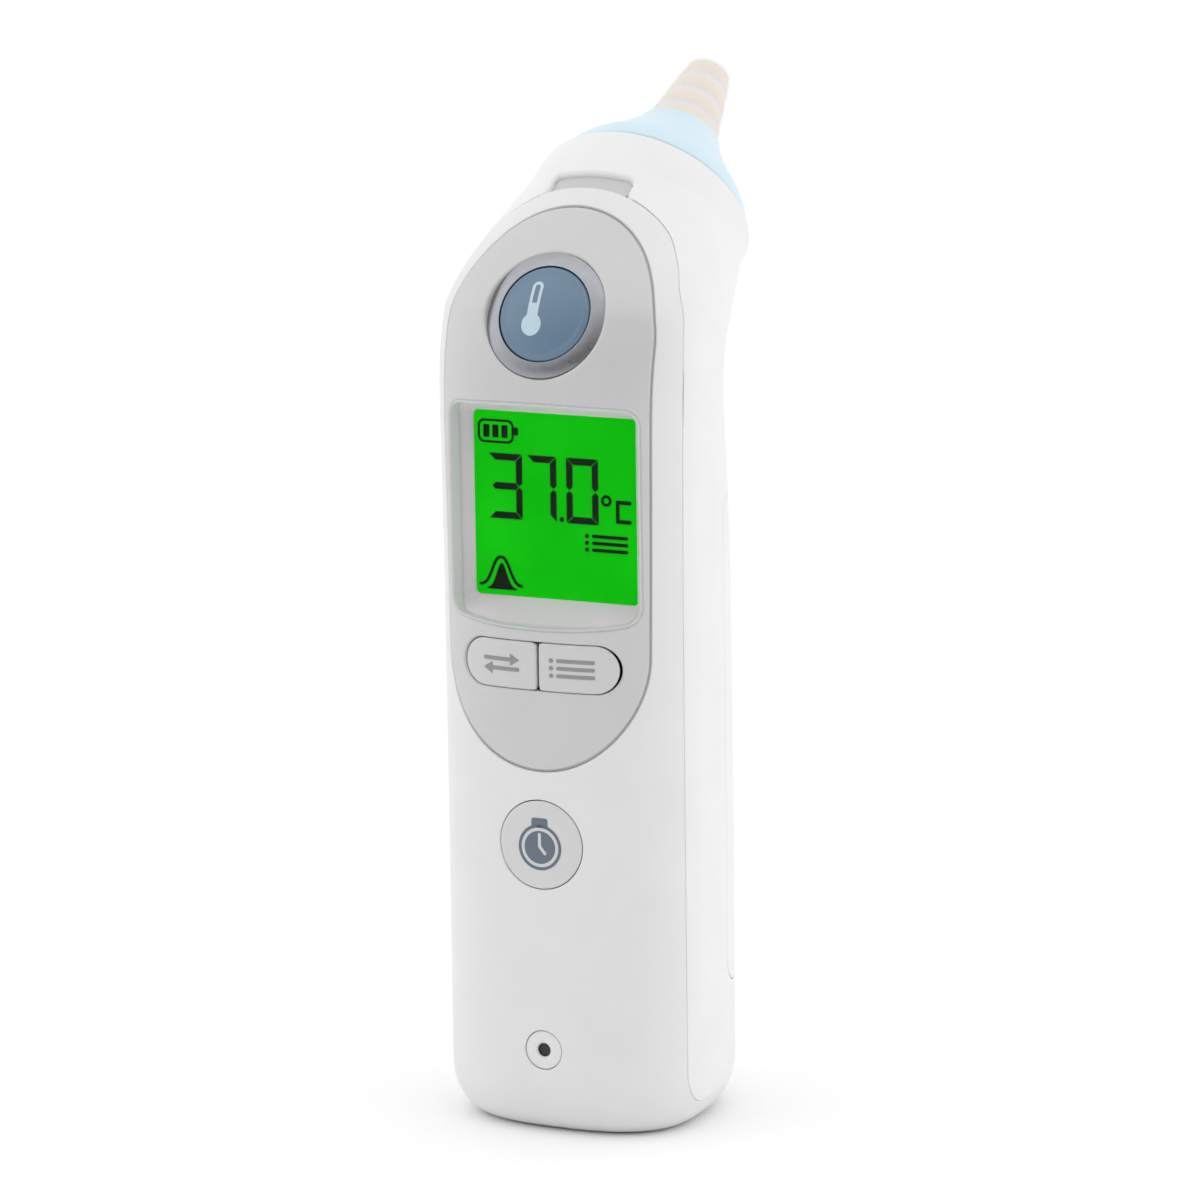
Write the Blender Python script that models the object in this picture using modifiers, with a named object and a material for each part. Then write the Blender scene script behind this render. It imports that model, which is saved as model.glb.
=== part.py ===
"""Digital ear thermometer: a hand-held body with a bent head, a heated probe and a throw-away probe cover.

The origin is on the flat base, below the middle of the handle. +Z is up, the front with its
display and buttons faces -Y, and +X is the right side of the front. Every piece is an object of
its own. Sizes are in millimetres until MM turns them into metres.
"""
from math import cos, pi, radians, sin, sqrt

import bpy
import bmesh
from mathutils import Matrix, Vector

MM = 0.001
GAP = 0.3               # clearance between neighbouring pieces
WALL = 1.9              # thickness of the housing walls

# The body is a loft of superellipse sections. Each row is one section, from the handle to the head:
# tilt in degrees, front point Y, front point Z, depth, half width, power, where the widest point lies.
STATIONS = (
    (0.0, -14.4, 8.0, 36.6, 20.0, 2.6, 0.42),
    (0.0, -14.4, 45.0, 36.8, 20.0, 2.6, 0.42),
    (0.0, -14.4, 75.0, 36.5, 20.0, 2.6, 0.42),
    (1.6, -14.4, 102.0, 34.3, 20.0, 2.6, 0.42),
    (15.0, -11.1, 120.0, 30.4, 20.0, 2.9, 0.42),
    (41.7, 7.4, 139.6, 31.7, 16.8, 2.0, 0.50),
    (52.1, 13.3, 143.7, 32.6, 16.3, 2.0, 0.50),
)
LAST = len(STATIONS) - 1
BASE_ROUND_HIGH, BASE_ROUND_IN = 8.0, 5.5
SECTION_POINTS = 40

# The seam between the front and rear housings, seen from the side. The front housing has the base: the
# seam comes round the back at SEAM_LOW_Z, turns up through a round corner, and ends as an arch over the head.
SEAM_Y, SEAM_LOW_Z, SEAM_CORNER = -5.8, 4.0, 5.0
SEAM_ARCH = ((-5.8, 104), (-5.4, 114), (-3.7, 122), (-0.3, 127),
             (2.1, 130.5), (3.0, 133), (3.5, 136), (3.9, 160))

DOOR_FRONT_Y, DOOR_LOW_Z, DOOR_HIGH_Z, DOOR_CORNER = 7.0, 19.5, 92.5, 4.0
DOOR_HINGE_Y, DOOR_HINGE_Z = 22.4, 92.2

EGG_HALF, EGG_LOW_Z, EGG_LOW_HIGH, EGG_TOP_Z, EGG_TOP_HIGH = 16.8, 71.5, 17.5, 112.0, 21.2
EGG_THICK = 1.5
WINDOW_HALF, WINDOW_LOW, WINDOW_HIGH, WINDOW_CORNER = 14.4, 76.9, 106.8, 1.6
LCD_HALF, LCD_LOW, LCD_HIGH, LCD_FRONT_Y = 12.75, 78.35, 105.45, -7.7
PILL_Z, PILL_HALF, PILL_HIGH = 69.7, 12.2, 3.5
TIMER_Z, TIMER_R = 43.5, 6.5
RELEASE_Z, RELEASE_R = 12.9, 2.9
FRONT_Y = -14.4         # the handle's front face

RING_Y, RING_Z, RING_TILT, RING_R, MEASURE_R = -9.9, 119.8, 24.5, 9.5, 7.35

COLLAR = Vector((0, 23.3, 130.8))
PROBE_TILT = 52.1

BOARD_FRONT_Y, BOARD_THICK, BOARD_HALF, BOARD_LOW, BOARD_HIGH = -3.0, 1.2, 13.0, 20.0, 107.5
SCREW_X, SCREW_ZS = 15.3, (22.6, 87.6)
CELL_X, CELL_Y, CELL_R, CELL_LOW, CELL_LONG = 7.4, 10.6, 7.1, 29.5, 50.0
TRAY_FRONT_Y, TRAY_BACK_Y = 1.7, 3.1

WHITE, PALE_GREY, KEY_GREY = (0.86, 0.87, 0.88), (0.74, 0.75, 0.76), (0.78, 0.79, 0.80)
BLUE, RING_GREY, COVER_BLUE = (0.20, 0.33, 0.50), (0.36, 0.37, 0.40), (0.62, 0.80, 0.93)
BEIGE, GREEN, BLACK = (0.80, 0.70, 0.60), (0.02, 0.55, 0.02), (0.02, 0.02, 0.02)
BOARD_GREEN, STEEL = (0.02, 0.22, 0.10), (0.62, 0.62, 0.63)
GOLD, AMBER = (0.83, 0.62, 0.24), (0.70, 0.35, 0.06)


def clear_scene():
    for old in list(bpy.data.objects):
        bpy.data.objects.remove(old)


def collection(name):
    made = bpy.data.collections.new(name)
    bpy.context.scene.collection.children.link(made)
    return made


def material(name, colour, roughness=0.5, metallic=0.0):
    made = bpy.data.materials.new(name)
    made.use_nodes = True
    shader = made.node_tree.nodes["Principled BSDF"]
    shader.inputs["Base Color"].default_value = (*colour, 1)
    shader.inputs["Roughness"].default_value = roughness
    shader.inputs["Metallic"].default_value = metallic
    return made


def add(name, mesh, look=None, place=Matrix.Identity(4)):
    """A piece when it has a look (colour, roughness, metallic), and otherwise a hidden cutter."""
    made = bpy.data.objects.new(name, mesh)
    (PARTS if look else CUTTERS).objects.link(made)
    made.matrix_world = place
    if look:
        mesh.materials.append(material(name, *look))
    else:
        made.hide_render = True
        made.display_type = "WIRE"
    return made


def combine(target, operation, *others):
    for other in others:
        step = target.modifiers.new(operation.lower() + "_" + other.name, "BOOLEAN")
        step.operation, step.object, step.solver = operation, other, "EXACT"
    return target


def smooth_between(values, t):
    """The value at t of a monotone cubic through equally spaced values."""
    steps = [b - a for a, b in zip(values, values[1:])]

    def slope(k):
        if 0 < k < len(steps):
            a, b = steps[k - 1], steps[k]
            return 2 * a * b / (a + b) if a * b > 0 else 0.0
        near, far = (steps[0], steps[1]) if k == 0 else (steps[-1], steps[-2])
        end = (3 * near - far) / 2
        return end if end * near > 0 else 0.0

    k = min(int(t), len(steps) - 1)
    u = t - k
    start, finish = slope(k), slope(k + 1)
    rise = 3 * steps[k] - 2 * start - finish
    return values[k] + u * (start + u * (rise + u * (start + finish - 2 * steps[k])))


def section(t, inset=0.0, shift=Vector((0, 0, 0)), count=SECTION_POINTS):
    """The ring of points of the body's outline at station t, moved inwards by inset."""
    tilt, front_y, front_z, depth, half, power, widest = (
        smooth_between(column, t) for column in zip(*STATIONS)
    )
    back = Vector((0, cos(radians(tilt)), -sin(radians(tilt))))
    middle = Vector((0, front_y, front_z)) + back * depth * widest + shift
    ring = []
    for k in range(count):
        across, along = cos(2 * pi * k / count), sin(2 * pi * k / count)
        reach = depth * (widest if along < 0 else 1 - widest) - inset
        x = (half - inset) * abs(across) ** (2 / power) * (1 if across > 0 else -1)
        y = reach * abs(along) ** (2 / power) * (1 if along > 0 else -1)
        ring.append(middle + Vector((x, 0, 0)) + back * y)
    return ring


def loft(rings):
    """A closed mesh, in metres, through rings of points in millimetres, with flat ends."""
    bm = bmesh.new()
    rows = [[bm.verts.new(p * MM) for p in ring] for ring in rings]
    count = len(rows[0])
    for low, high in zip(rows, rows[1:]):
        for k in range(count):
            n = (k + 1) % count
            bm.faces.new((low[k], low[n], high[n], high[k]))
    bm.faces.new(rows[0][::-1])
    bm.faces.new(rows[-1])
    return finished(bm)


def finished(bm):
    bmesh.ops.recalc_face_normals(bm, faces=bm.faces)
    mesh = bpy.data.meshes.new("mesh")
    bm.to_mesh(mesh)
    bm.free()
    mesh.shade_smooth()
    mesh.set_sharp_from_angle(angle=radians(30))
    return mesh


def body_mesh(inset=0.0, floor=0.0, past_mouth=0.0, count=SECTION_POINTS, steps=3):
    """The whole body as one solid, moved inwards by inset, from the height floor up."""
    rings = []
    for k in range(5):
        lift = k / 5 * (BASE_ROUND_HIGH - floor)
        share = 1 - k / 5
        edge = BASE_ROUND_IN * (1 - sqrt(1 - share * share))
        drop = Vector((0, 0, floor + lift - BASE_ROUND_HIGH))
        rings.append(section(0, inset + edge, drop, count))
    rings += [section(k / steps, inset, count=count) for k in range(LAST * steps + 1)]
    if past_mouth:
        rings.append(section(LAST, inset, AXIS * past_mouth, count))
    return loft(rings)


def prism(outline, axis, low, high):
    """A flat outline pushed along X or Y, from low to high. Its points are (Y, Z) or (X, Z)."""
    def at(point, level):
        return Vector((level, *point)) if axis == "X" else Vector((point[0], level, point[1]))
    return loft([[at(p, low) for p in outline], [at(p, high) for p in outline]])


def arc(x, z, rx, rz, start, end, steps):
    angles = [radians(start + (end - start) * k / steps) for k in range(steps + 1)]
    return [(x + rx * cos(a), z + rz * sin(a)) for a in angles]


def rounded_outline(x0, x1, z0, z1, r, steps=4):
    return (arc(x1 - r, z1 - r, r, r, 0, 90, steps) + arc(x0 + r, z1 - r, r, r, 90, 180, steps)
            + arc(x0 + r, z0 + r, r, r, 180, 270, steps) + arc(x1 - r, z0 + r, r, r, 270, 360, steps))


def box(x0, x1, y0, y1, z0, z1):
    bm = bmesh.new()
    size = Matrix.Diagonal(((x1 - x0) * MM, (y1 - y0) * MM, (z1 - z0) * MM, 1))
    centre = Matrix.Translation(Vector((x0 + x1, y0 + y1, z0 + z1)) * MM / 2)
    bmesh.ops.create_cube(bm, size=1, matrix=centre @ size)
    return finished(bm)


def cylinder(radius, low, high, sides=32):
    bm = bmesh.new()
    lift = Matrix.Translation((0, 0, (low + high) / 2 * MM))
    bmesh.ops.create_cone(bm, cap_ends=True, segments=sides, radius1=radius * MM, radius2=radius * MM,
                          depth=(high - low) * MM, matrix=lift)
    return finished(bm)


def turned(name, profile, look, place, steps=24):
    """A turned piece. The profile's (radius, height) points run down its outer side."""
    mesh = bpy.data.meshes.new(name)
    points = [(r * MM, 0, z * MM) for r, z in profile]
    closed = profile[0][0] > 0 and profile[-1][0] > 0
    edges = [(k, k + 1) for k in range(len(points) - 1)] + ([(len(points) - 1, 0)] if closed else [])
    mesh.from_pydata(points, edges, [])
    made = add(name, mesh, look, place)
    screw = made.modifiers.new("turn", "SCREW")
    screw.steps = screw.render_steps = steps
    screw.use_merge_vertices = True
    screw.merge_threshold = 0.00001
    return made


def coil(name, radius, wire, low, high, turns, look, place, points=10):
    """A coil spring as a round wire along a helix about the local Z axis."""
    curve = bpy.data.curves.new(name, "CURVE")
    curve.dimensions = "3D"
    curve.bevel_depth, curve.bevel_resolution, curve.use_fill_caps = wire * MM, 1, True
    path = curve.splines.new("POLY")
    total = turns * points
    path.points.add(total)
    for k, point in enumerate(path.points):
        angle = 2 * pi * k / points
        height = low + wire + (high - low - 2 * wire) * k / total
        point.co = (radius * cos(angle) * MM, radius * sin(angle) * MM, height * MM, 1)
    return add(name, curve, look, place)


def wire_along(name, points, radius, look):
    """A round wire along a smooth curve through points in millimetres."""
    curve = bpy.data.curves.new(name, "CURVE")
    curve.dimensions = "3D"
    curve.bevel_depth, curve.bevel_resolution, curve.use_fill_caps = radius * MM, 2, True
    path = curve.splines.new("POLY")
    columns = list(zip(*points))
    total = 6 * (len(points) - 1)
    path.points.add(total)
    for k, point in enumerate(path.points):
        place = [smooth_between(column, k / 6) for column in columns]
        point.co = (*[c * MM for c in place], 1)
    return add(name, curve, look)


def axis_frame(origin, direction):
    """Local Z along direction, local X along the part's X, origin in millimetres."""
    z = direction.normalized()
    x = Vector((1, 0, 0))
    frame = Matrix((x, z.cross(x), z)).transposed().to_4x4()
    frame.translation = origin * MM
    return frame


AXIS = Vector((0, sin(radians(PROBE_TILT)), cos(radians(PROBE_TILT))))
RING_AXIS = Vector((0, -cos(radians(RING_TILT)), sin(radians(RING_TILT))))
PROBE = axis_frame(COLLAR, AXIS)                                # local +Y is the underside of the head
RING = axis_frame(Vector((0, RING_Y, RING_Z)), RING_AXIS)
FORWARD = Vector((0, -1, 0))


def facing(x, y, z):
    """A frame whose local Z points out of the front of the handle."""
    return axis_frame(Vector((x, y, z)), FORWARD)


def egg(grow):
    """The outline of the grey front panel: a round arch, straight sides and a round bottom."""
    half = EGG_HALF + grow
    return (arc(0, EGG_TOP_Z, half, EGG_TOP_HIGH + grow, 0, 180, 18)
            + arc(0, EGG_LOW_Z, half, EGG_LOW_HIGH + grow, 180, 360, 18))


def pill_half(side, grow):
    """One half of the long button: straight at the middle, round at its outer end."""
    outer, high = PILL_HALF + grow, PILL_HIGH + grow
    inner = 0.2 - grow
    points = arc(outer - high, PILL_Z, high, high, -90, 90, 10)
    points += [(inner, PILL_Z + high), (inner, PILL_Z - high)]
    return [(side * x, z) for x, z in points][::side]


def seam_prism(push):
    """The region of the front housing, with its seam moved back and up by push."""
    r = SEAM_CORNER - push
    corner = arc(SEAM_Y + SEAM_CORNER, SEAM_LOW_Z + SEAM_CORNER, r, r, 270, 180, 5)
    arch = [(y + push, z) for y, z in SEAM_ARCH]
    return prism([(60, SEAM_LOW_Z + push)] + corner + arch + [(-60, 160), (-60, -5), (60, -5)], "X", -40, 40)


def door_prism(grow):
    front, low, high, r = DOOR_FRONT_Y - grow, DOOR_LOW_Z - grow, DOOR_HIGH_Z + grow, DOOR_CORNER
    corners = arc(front + r, high - r, r, r, 90, 180, 5) + arc(front + r, low + r, r, r, 180, 270, 5)
    return prism([(60, high)] + corners + [(60, low)], "X", -40, 40)


def make_shells():
    """The two housings and the battery door, all cut from one hollow body."""
    hollow = add("cut_hollow", body_mesh(WALL, WALL, past_mouth=4, count=32))
    front_region = add("cut_front", seam_prism(0))
    rear_region = add("cut_front_wide", seam_prism(GAP))
    door_region = add("cut_door", door_prism(-GAP / 2))
    door_space = add("cut_door_wide", door_prism(GAP / 2))
    egg_space = add("cut_egg_wide", prism(egg(0.3), "Y", -40, 5))

    front = add("front_housing", body_mesh(), (WHITE, 0.35))
    combine(front, "DIFFERENCE", hollow)
    combine(front, "INTERSECT", front_region)
    holes = [egg_space]
    for name, z, radius in (("timer", TIMER_Z, TIMER_R + 0.3), ("release", RELEASE_Z, RELEASE_R + 0.3)):
        holes.append(add(f"cut_{name}", cylinder(radius, -6, 6), None, facing(0, FRONT_Y, z)))
    combine(front, "DIFFERENCE", *holes)

    rear = add("rear_housing", body_mesh(), (WHITE, 0.35))
    light_slot = add("cut_light", box(-5.7, 5.7, -2.6, 3, -0.4, 2.6), None, LIGHT)
    thumb_slot = add("cut_thumb", box(-2.3, 2.3, 8, 20, -11.1, -3.8), None, PROBE)
    light_path = add("cut_light_path", box(-2.4, 2.4, 0.3, 6, -3.4, 0.5), None, LIGHT)
    combine(rear, "DIFFERENCE", hollow, rear_region, door_space, light_slot, light_path, thumb_slot)

    for side in (-1, 1):
        for z in SCREW_ZS:
            tag = f"{'left' if side < 0 else 'right'}_{'low' if z < 50 else 'high'}"
            boss = add(f"boss_{tag}", cylinder(1.7, 0.8, 6.6, 12), None, facing(side * SCREW_X, 0, z))
            bore = add(f"bore_{tag}", cylinder(1.2, -6, 6.1, 12), None, facing(side * SCREW_X, 0, z))
            web = add(f"web_{tag}", box(*sorted((side * 14.6, side * 18.3)), -6.55, -5.85, z - 1.6, z + 1.6))
            lug = add(f"lug_{tag}", box(*sorted((side * 13.4, side * 18.8)), -0.4, 1.3, z - 2.4, z + 2.4))
            combine(front, "UNION", boss, web)
            combine(front, "DIFFERENCE", bore)
            combine(rear, "UNION", lug)
            combine(rear, "DIFFERENCE", bore)

    door = add("battery_door", body_mesh(), (WHITE, 0.35))
    combine(door, "DIFFERENCE", hollow)
    combine(door, "INTERSECT", door_region)
    combine(door, "UNION", add("door_rib", box(-3, 3, 17.3, 21, 20.3, 22)))


def make_front_panel():
    """The grey panel, the window and the long button follow the body's own curved surface."""
    mid = add("cut_mid", body_mesh(EGG_THICK, EGG_THICK, past_mouth=4, count=32))
    bezel = add("front_panel", body_mesh(), (PALE_GREY, 0.4))
    combine(bezel, "DIFFERENCE", mid)
    combine(bezel, "INTERSECT", add("cut_egg", prism(egg(-0.1), "Y", -40, 5)))
    window_hole = rounded_outline(-WINDOW_HALF, WINDOW_HALF, WINDOW_LOW, WINDOW_HIGH, WINDOW_CORNER)
    openings = [
        add("cut_ring", cylinder(RING_R + 0.3, -8, 8, 36), None, RING),
        add("cut_window", prism(window_hole, "Y", -40, 0)),
    ]
    for side, name in ((-1, "left"), (1, "right")):
        openings.append(add(f"cut_pill_{name}", prism(pill_half(side, 0.21), "Y", -40, 0)))
    combine(bezel, "DIFFERENCE", *openings)

    half = WINDOW_HALF - 0.25
    pane = rounded_outline(-half, half, WINDOW_LOW + 0.25, WINDOW_HIGH - 0.25, 1.4)
    window = add("display_window", body_mesh(0.2, 0.2), (WHITE, 0.05))
    combine(window, "DIFFERENCE", add("cut_pane_back", body_mesh(1.5, 1.5, past_mouth=4, count=32)))
    combine(window, "INTERSECT", add("cut_pane", prism(pane, "Y", -40, 0)))

    back = add("cut_key_back", body_mesh(2.0, 2.0, past_mouth=4, count=32))
    for side, name in ((-1, "unit_button"), (1, "memory_button")):
        key = add(name, body_mesh(-0.3), (KEY_GREY, 0.45))
        combine(key, "DIFFERENCE", back)
        combine(key, "INTERSECT", add(f"cut_{name}", prism(pill_half(side, -0.1), "Y", -40, 0)))

    timer = add("timer_button", body_mesh(-0.15), (KEY_GREY, 0.45))
    combine(timer, "DIFFERENCE", back)
    timer_place = facing(0, FRONT_Y, TIMER_Z)
    combine(timer, "INTERSECT", add("cut_timer_key", cylinder(TIMER_R, -6, 6), None, timer_place))


def make_measure_button():
    hole = MEASURE_R + 0.35
    ring = [(RING_R, 0.1), (RING_R, -3.4), (8.2, -3.4), (8.2, -1.2), (hole, -1.2), (hole, -0.7)]
    turned("measure_ring", ring, (RING_GREY, 0.35, 0.7), RING, 36)
    dome = [(MEASURE_R * sin(radians(a)), 0.1 + 1.3 * cos(radians(a))) for a in (0, 25, 50, 72, 90)]
    skirt = [(MEASURE_R, -2.0), (2.0, -2.0), (2.0, -3.6), (0, -3.6)]
    turned("measure_button", dome + skirt, (BLUE, 0.4), RING, 32)


def make_switches():
    """A tact switch under each key: a square body with a plunger in it, and a key stem above."""
    spots = {
        "measure": (RING, -8.0, -4.6),
        "unit": (facing(-6.3, 0, PILL_Z), 3.3, 6.8),
        "memory": (facing(6.3, 0, PILL_Z), 3.3, 6.8),
        "timer": (facing(0, 0, TIMER_Z), 3.3, 6.8),
    }
    for name, (place, low, high) in spots.items():
        case = add(f"{name}_switch", box(-3, 3, -3, 3, low, high), (BLACK, 0.4), place)
        well = add(f"cut_{name}_well", cylinder(1.75, high - 1.6, high + 1, 16), None, place)
        combine(case, "DIFFERENCE", well)
        top = -3.9 if name == "measure" else high + 0.9
        add(f"{name}_plunger", cylinder(1.4, high - 0.5, top, 16), (AMBER, 0.5), place)
    for name, x, z in (("unit", -6.3, PILL_Z), ("memory", 6.3, PILL_Z), ("timer", 0, TIMER_Z)):
        key = bpy.data.objects[f"{name}_button"]
        stem = add(f"stem_{name}", cylinder(1.6, 8.0, 12.6, 16), None, facing(x, 0, z))
        combine(key, "UNION", stem)


def make_release():
    """The recessed battery-door release: a small button, its rod and its return spring."""
    place = facing(0, FRONT_Y, RELEASE_Z)
    face = [(0, -1.0), (0.7, -1.0), (1.05, -0.05), (RELEASE_R - 0.3, -0.05), (RELEASE_R, -0.35)]
    profile = face + [(RELEASE_R, -2.6), (1.3, -2.6), (1.3, -12.6), (0, -12.6)]
    turned("release_button", profile, (WHITE, 0.4), place)
    coil("release_spring", 2.0, 0.25, -8.4, -2.9, 3, (STEEL, 0.3, 1.0), place)
    rib = add("release_guide", box(-5, 5, -4.6, 5, -10.2, -8.6), (BLACK, 0.5), place)
    combine(rib, "DIFFERENCE", add("cut_release_rod", cylinder(1.6, -12, -7, 20), None, place))
    bar = add("release_bar", box(-3.2, 3.2, -1.5, 15.6, 11.2, 14.8), (BLACK, 0.5))
    combine(bar, "UNION", add("release_riser", box(-2.6, 2.6, 13.8, 15.6, 12, 22.4)))


def make_display():
    half = WINDOW_HALF - GAP
    frame_box = box(-half, half, -16, LCD_FRONT_Y - GAP, WINDOW_LOW + GAP, WINDOW_HIGH - GAP)
    frame = add("display_frame", frame_box, (PALE_GREY, 0.5))
    combine(frame, "INTERSECT", add("cut_frame_front", body_mesh(1.9, 1.9, count=32)))
    ends = []
    for y, grow in ((-14, 0.9), (LCD_FRONT_Y + 1, 0.0)):
        outline = rounded_outline(-LCD_HALF - grow, LCD_HALF + grow, LCD_LOW - grow, LCD_HIGH + grow, 0.8)
        ends.append([Vector((x, y, z)) for x, z in outline])
    combine(frame, "DIFFERENCE", add("cut_funnel", loft(ends)))
    add("lcd_glass", box(-13.2, 13.2, LCD_FRONT_Y, LCD_FRONT_Y + 1.6, 77.2, 106.6), (GREEN, 0.2))
    add("lcd_backlight", box(-13.0, 13.0, LCD_FRONT_Y + 1.9, BOARD_FRONT_Y - GAP, 79.6, 106.2), (WHITE, 0.5))
    strip = box(-12.4, 12.4, LCD_FRONT_Y + 1.9, BOARD_FRONT_Y - GAP, 77.4, 79.2)
    add("contact_strip", strip, ((0.75, 0.45, 0.45), 0.7))


def make_electronics():
    back_y = BOARD_FRONT_Y + BOARD_THICK
    outline = rounded_outline(-BOARD_HALF, BOARD_HALF, BOARD_LOW, BOARD_HIGH, 1.5)
    add("main_board", prism(outline, "Y", BOARD_FRONT_Y, back_y), (BOARD_GREEN, 0.4))
    add("key_board", box(-8, 8, -5.5, 9.2, -9.3, -8.3), (BOARD_GREEN, 0.4), RING)
    add("status_led", box(-1.6, 1.6, 6.4, 8.2, -8.0, -6.9), (WHITE, 0.3), RING)
    add("processor", box(-4, 4, back_y + 0.3, back_y + 1.5, 46, 54), (BLACK, 0.5))
    buzzer = [(0, -0.6), (0.9, -0.6), (0.9, 0), (5.2, 0), (5.2, -2.4), (0, -2.4)]
    turned("buzzer", buzzer, (BLACK, 0.5), axis_frame(Vector((0, 1.2, 96)), -FORWARD), 24)
    add("sensor_socket", box(-3, 3, back_y + 0.3, back_y + 2.6, 102.6, 106.4), (WHITE, 0.5))
    route = [COLLAR + AXIS * s for s in (19.4, 8, -4)]
    route += [Vector(p) for p in ((0, 13.5, 123), (0, 6.5, 115.5), (0, 1.0, 110.5), (0, -0.3, 106.8))]
    wire_along("sensor_cable", route, 0.65, (GOLD, 0.5))


def make_batteries():
    """A tray behind the board holds two cells side by side, between spring and plate contacts."""
    tray = add("battery_tray", box(-16.8, 16.8, TRAY_FRONT_Y, TRAY_BACK_Y, 20.2, 90.4), (BLACK, 0.5))
    for name, z in (("low", 25.0), ("high", 83.2)):
        combine(tray, "UNION", add(f"tray_{name}_wall", box(-14, 14, 2.5, 14, z, z + 1.4)))
    for side, tag in ((-1, "left"), (1, "right")):
        for z in SCREW_ZS:
            level = "low" if z < 50 else "high"
            combine(tray, "DIFFERENCE", bpy.data.objects[f"bore_{tag}_{level}"])
            place = axis_frame(Vector((side * SCREW_X, TRAY_BACK_Y + GAP, z)), -FORWARD)
            screw = [(0, 0.5), (0.6, 0.5), (0.6, 1.2), (1.4, 1.2), (1.8, 0), (0.85, 0), (0.85, -8.4), (0, -9)]
            turned(f"screw_{tag}_{level}", screw, (STEEL, 0.3, 1.0), place, 12)
        minus_z = CELL_LOW if side > 0 else CELL_LOW + CELL_LONG
        up = axis_frame(Vector((side * CELL_X, CELL_Y, minus_z)), Vector((0, 0, side)))
        nub = [(0, CELL_LONG), (2.6, CELL_LONG), (2.6, CELL_LONG - 1.2), (6.6, CELL_LONG - 1.4)]
        body = nub + [(CELL_R, CELL_LONG - 2), (CELL_R, 0.5), (6.6, 0), (0, 0)]
        turned(f"battery_cell_{tag}", body, (GOLD, 0.35, 0.6), up, 24)
        coil(f"contact_spring_{tag}", 3.2, 0.35, -2.7, -0.3, 2, (STEEL, 0.3, 1.0), up)
        low = minus_z + side * (CELL_LONG + 0.65) - 0.25
        plate = box(side * CELL_X - 5, side * CELL_X + 5, CELL_Y - 4.5, CELL_Y + 4.5, low, low + 0.5)
        add(f"contact_plate_{tag}", plate, (STEEL, 0.3, 1.0))


COVER_OUTER = ((15.9, 0.4), (15.6, 1.4), (14.4, 3.6), (12.6, 5.8), (10.4, 8.1), (8.6, 11.0), (6.43, 14.8),
               (3.85, 28.4), (3.4, 29.2), (2.7, 29.5))


def make_probe():
    """The probe and everything that sits on its tilted axis. Heights run outwards from the collar."""
    thick = 0.6
    inner = [(r - thick, z - 0.2) for r, z in COVER_OUTER[:-3]] + [(3.15, 28.4), (2.6, 28.9)]
    profile = [(0, 29.5)] + list(COVER_OUTER[::-1]) + [(15.3, 0.4)] + inner[1:] + [(0, 28.95)]
    turned("probe_cover", profile, (COVER_BLUE, 0.3), PROBE, 32)

    nose = [(2.5, 28.4), (5.35, 14.9), (6.7, 12.0), (8.0, 9.0), (8.0, 0.0), (12.0, 0.0), (12.0, -1.8),
            (6.0, -1.8), (3.0, 9.0), (2.2, 12.0), (2.0, 28.4)]
    tip = turned("probe_nose", nose, (BEIGE, 0.45), PROBE, 32)
    arm_hole = add("cut_arm", box(-3.2, 3.2, 8.3, 10.7, -3, 2), None, PROBE)
    combine(tip, "DIFFERENCE", arm_hole)
    can = [(0, 24.2), (1.0, 24.2), (1.0, 24.5), (1.6, 24.5), (1.6, 20.2), (0, 20.2)]
    turned("sensor_can", can, (STEEL, 0.25, 1.0), PROBE, 20)
    guide = [(1.65, 28.2), (1.65, 24.8), (1.2, 24.8), (1.2, 28.2)]
    turned("wave_guide", guide, (GOLD, 0.2, 1.0), PROBE, 20)

    collar_ring = [(13.7, 1.6), (13.9, 0.3), (9.0, 0.3), (9.0, 1.6)]
    ejector = turned("ejector_collar", collar_ring, (WHITE, 0.4), PROBE, 32)
    arm = add("ejector_arm", box(-2.8, 2.8, 8.5, 9.8, -10.6, 1.0), None, PROBE)
    stalk = add("ejector_stalk", box(-1.8, 1.8, 8.9, 16, -10.6, -8.3), None, PROBE)
    combine(stalk, "INTERSECT", add("cut_stalk_end", body_mesh(-1.2, -1, past_mouth=4)))
    foot = add("ejector_foot", box(-2.8, 2.8, 5.4, 9.0, -10.6, -9.0), None, PROBE)
    combine(ejector, "UNION", arm, stalk, foot)
    pad = add("ejector_button", body_mesh(-3.1), (KEY_GREY, 0.45))
    combine(pad, "DIFFERENCE", add("cut_pad_back", body_mesh(-1.5, -1, past_mouth=4)))
    combine(pad, "INTERSECT", add("cut_pad_face", box(-5, 5, 8, 20, -12.6, -6), None, PROBE))
    spring_place = PROBE @ Matrix.Translation(Vector((0, 7.0, 0)) * MM)
    coil("ejector_spring", 1.25, 0.2, -8.7, -2.1, 4, (STEEL, 0.3, 1.0), spring_place, 8)


def make_status_light():
    light = add("status_light", body_mesh(0.9, 0.9), (KEY_GREY, 0.3))
    combine(light, "DIFFERENCE", add("cut_light_back", body_mesh(2.4, 2.4, past_mouth=4, count=32)))
    combine(light, "INTERSECT", add("cut_light_face", box(-5.4, 5.4, -6, 3, -0.1, 2.3), None, LIGHT))
    start, end = Vector((0, 5.6, 136.0)), Vector((0, 0.6, 125.6))
    stem_box = box(-2, 2, -0.8, 0.8, 0, (end - start).length)
    stem = add("light_stem", stem_box, None, axis_frame(start, end - start))
    combine(light, "UNION", stem)


LIGHT_UP = Vector((0, sin(radians(50)), cos(radians(50))))
LIGHT = axis_frame(Vector((0, 3.8, 136.4)), LIGHT_UP)

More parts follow.
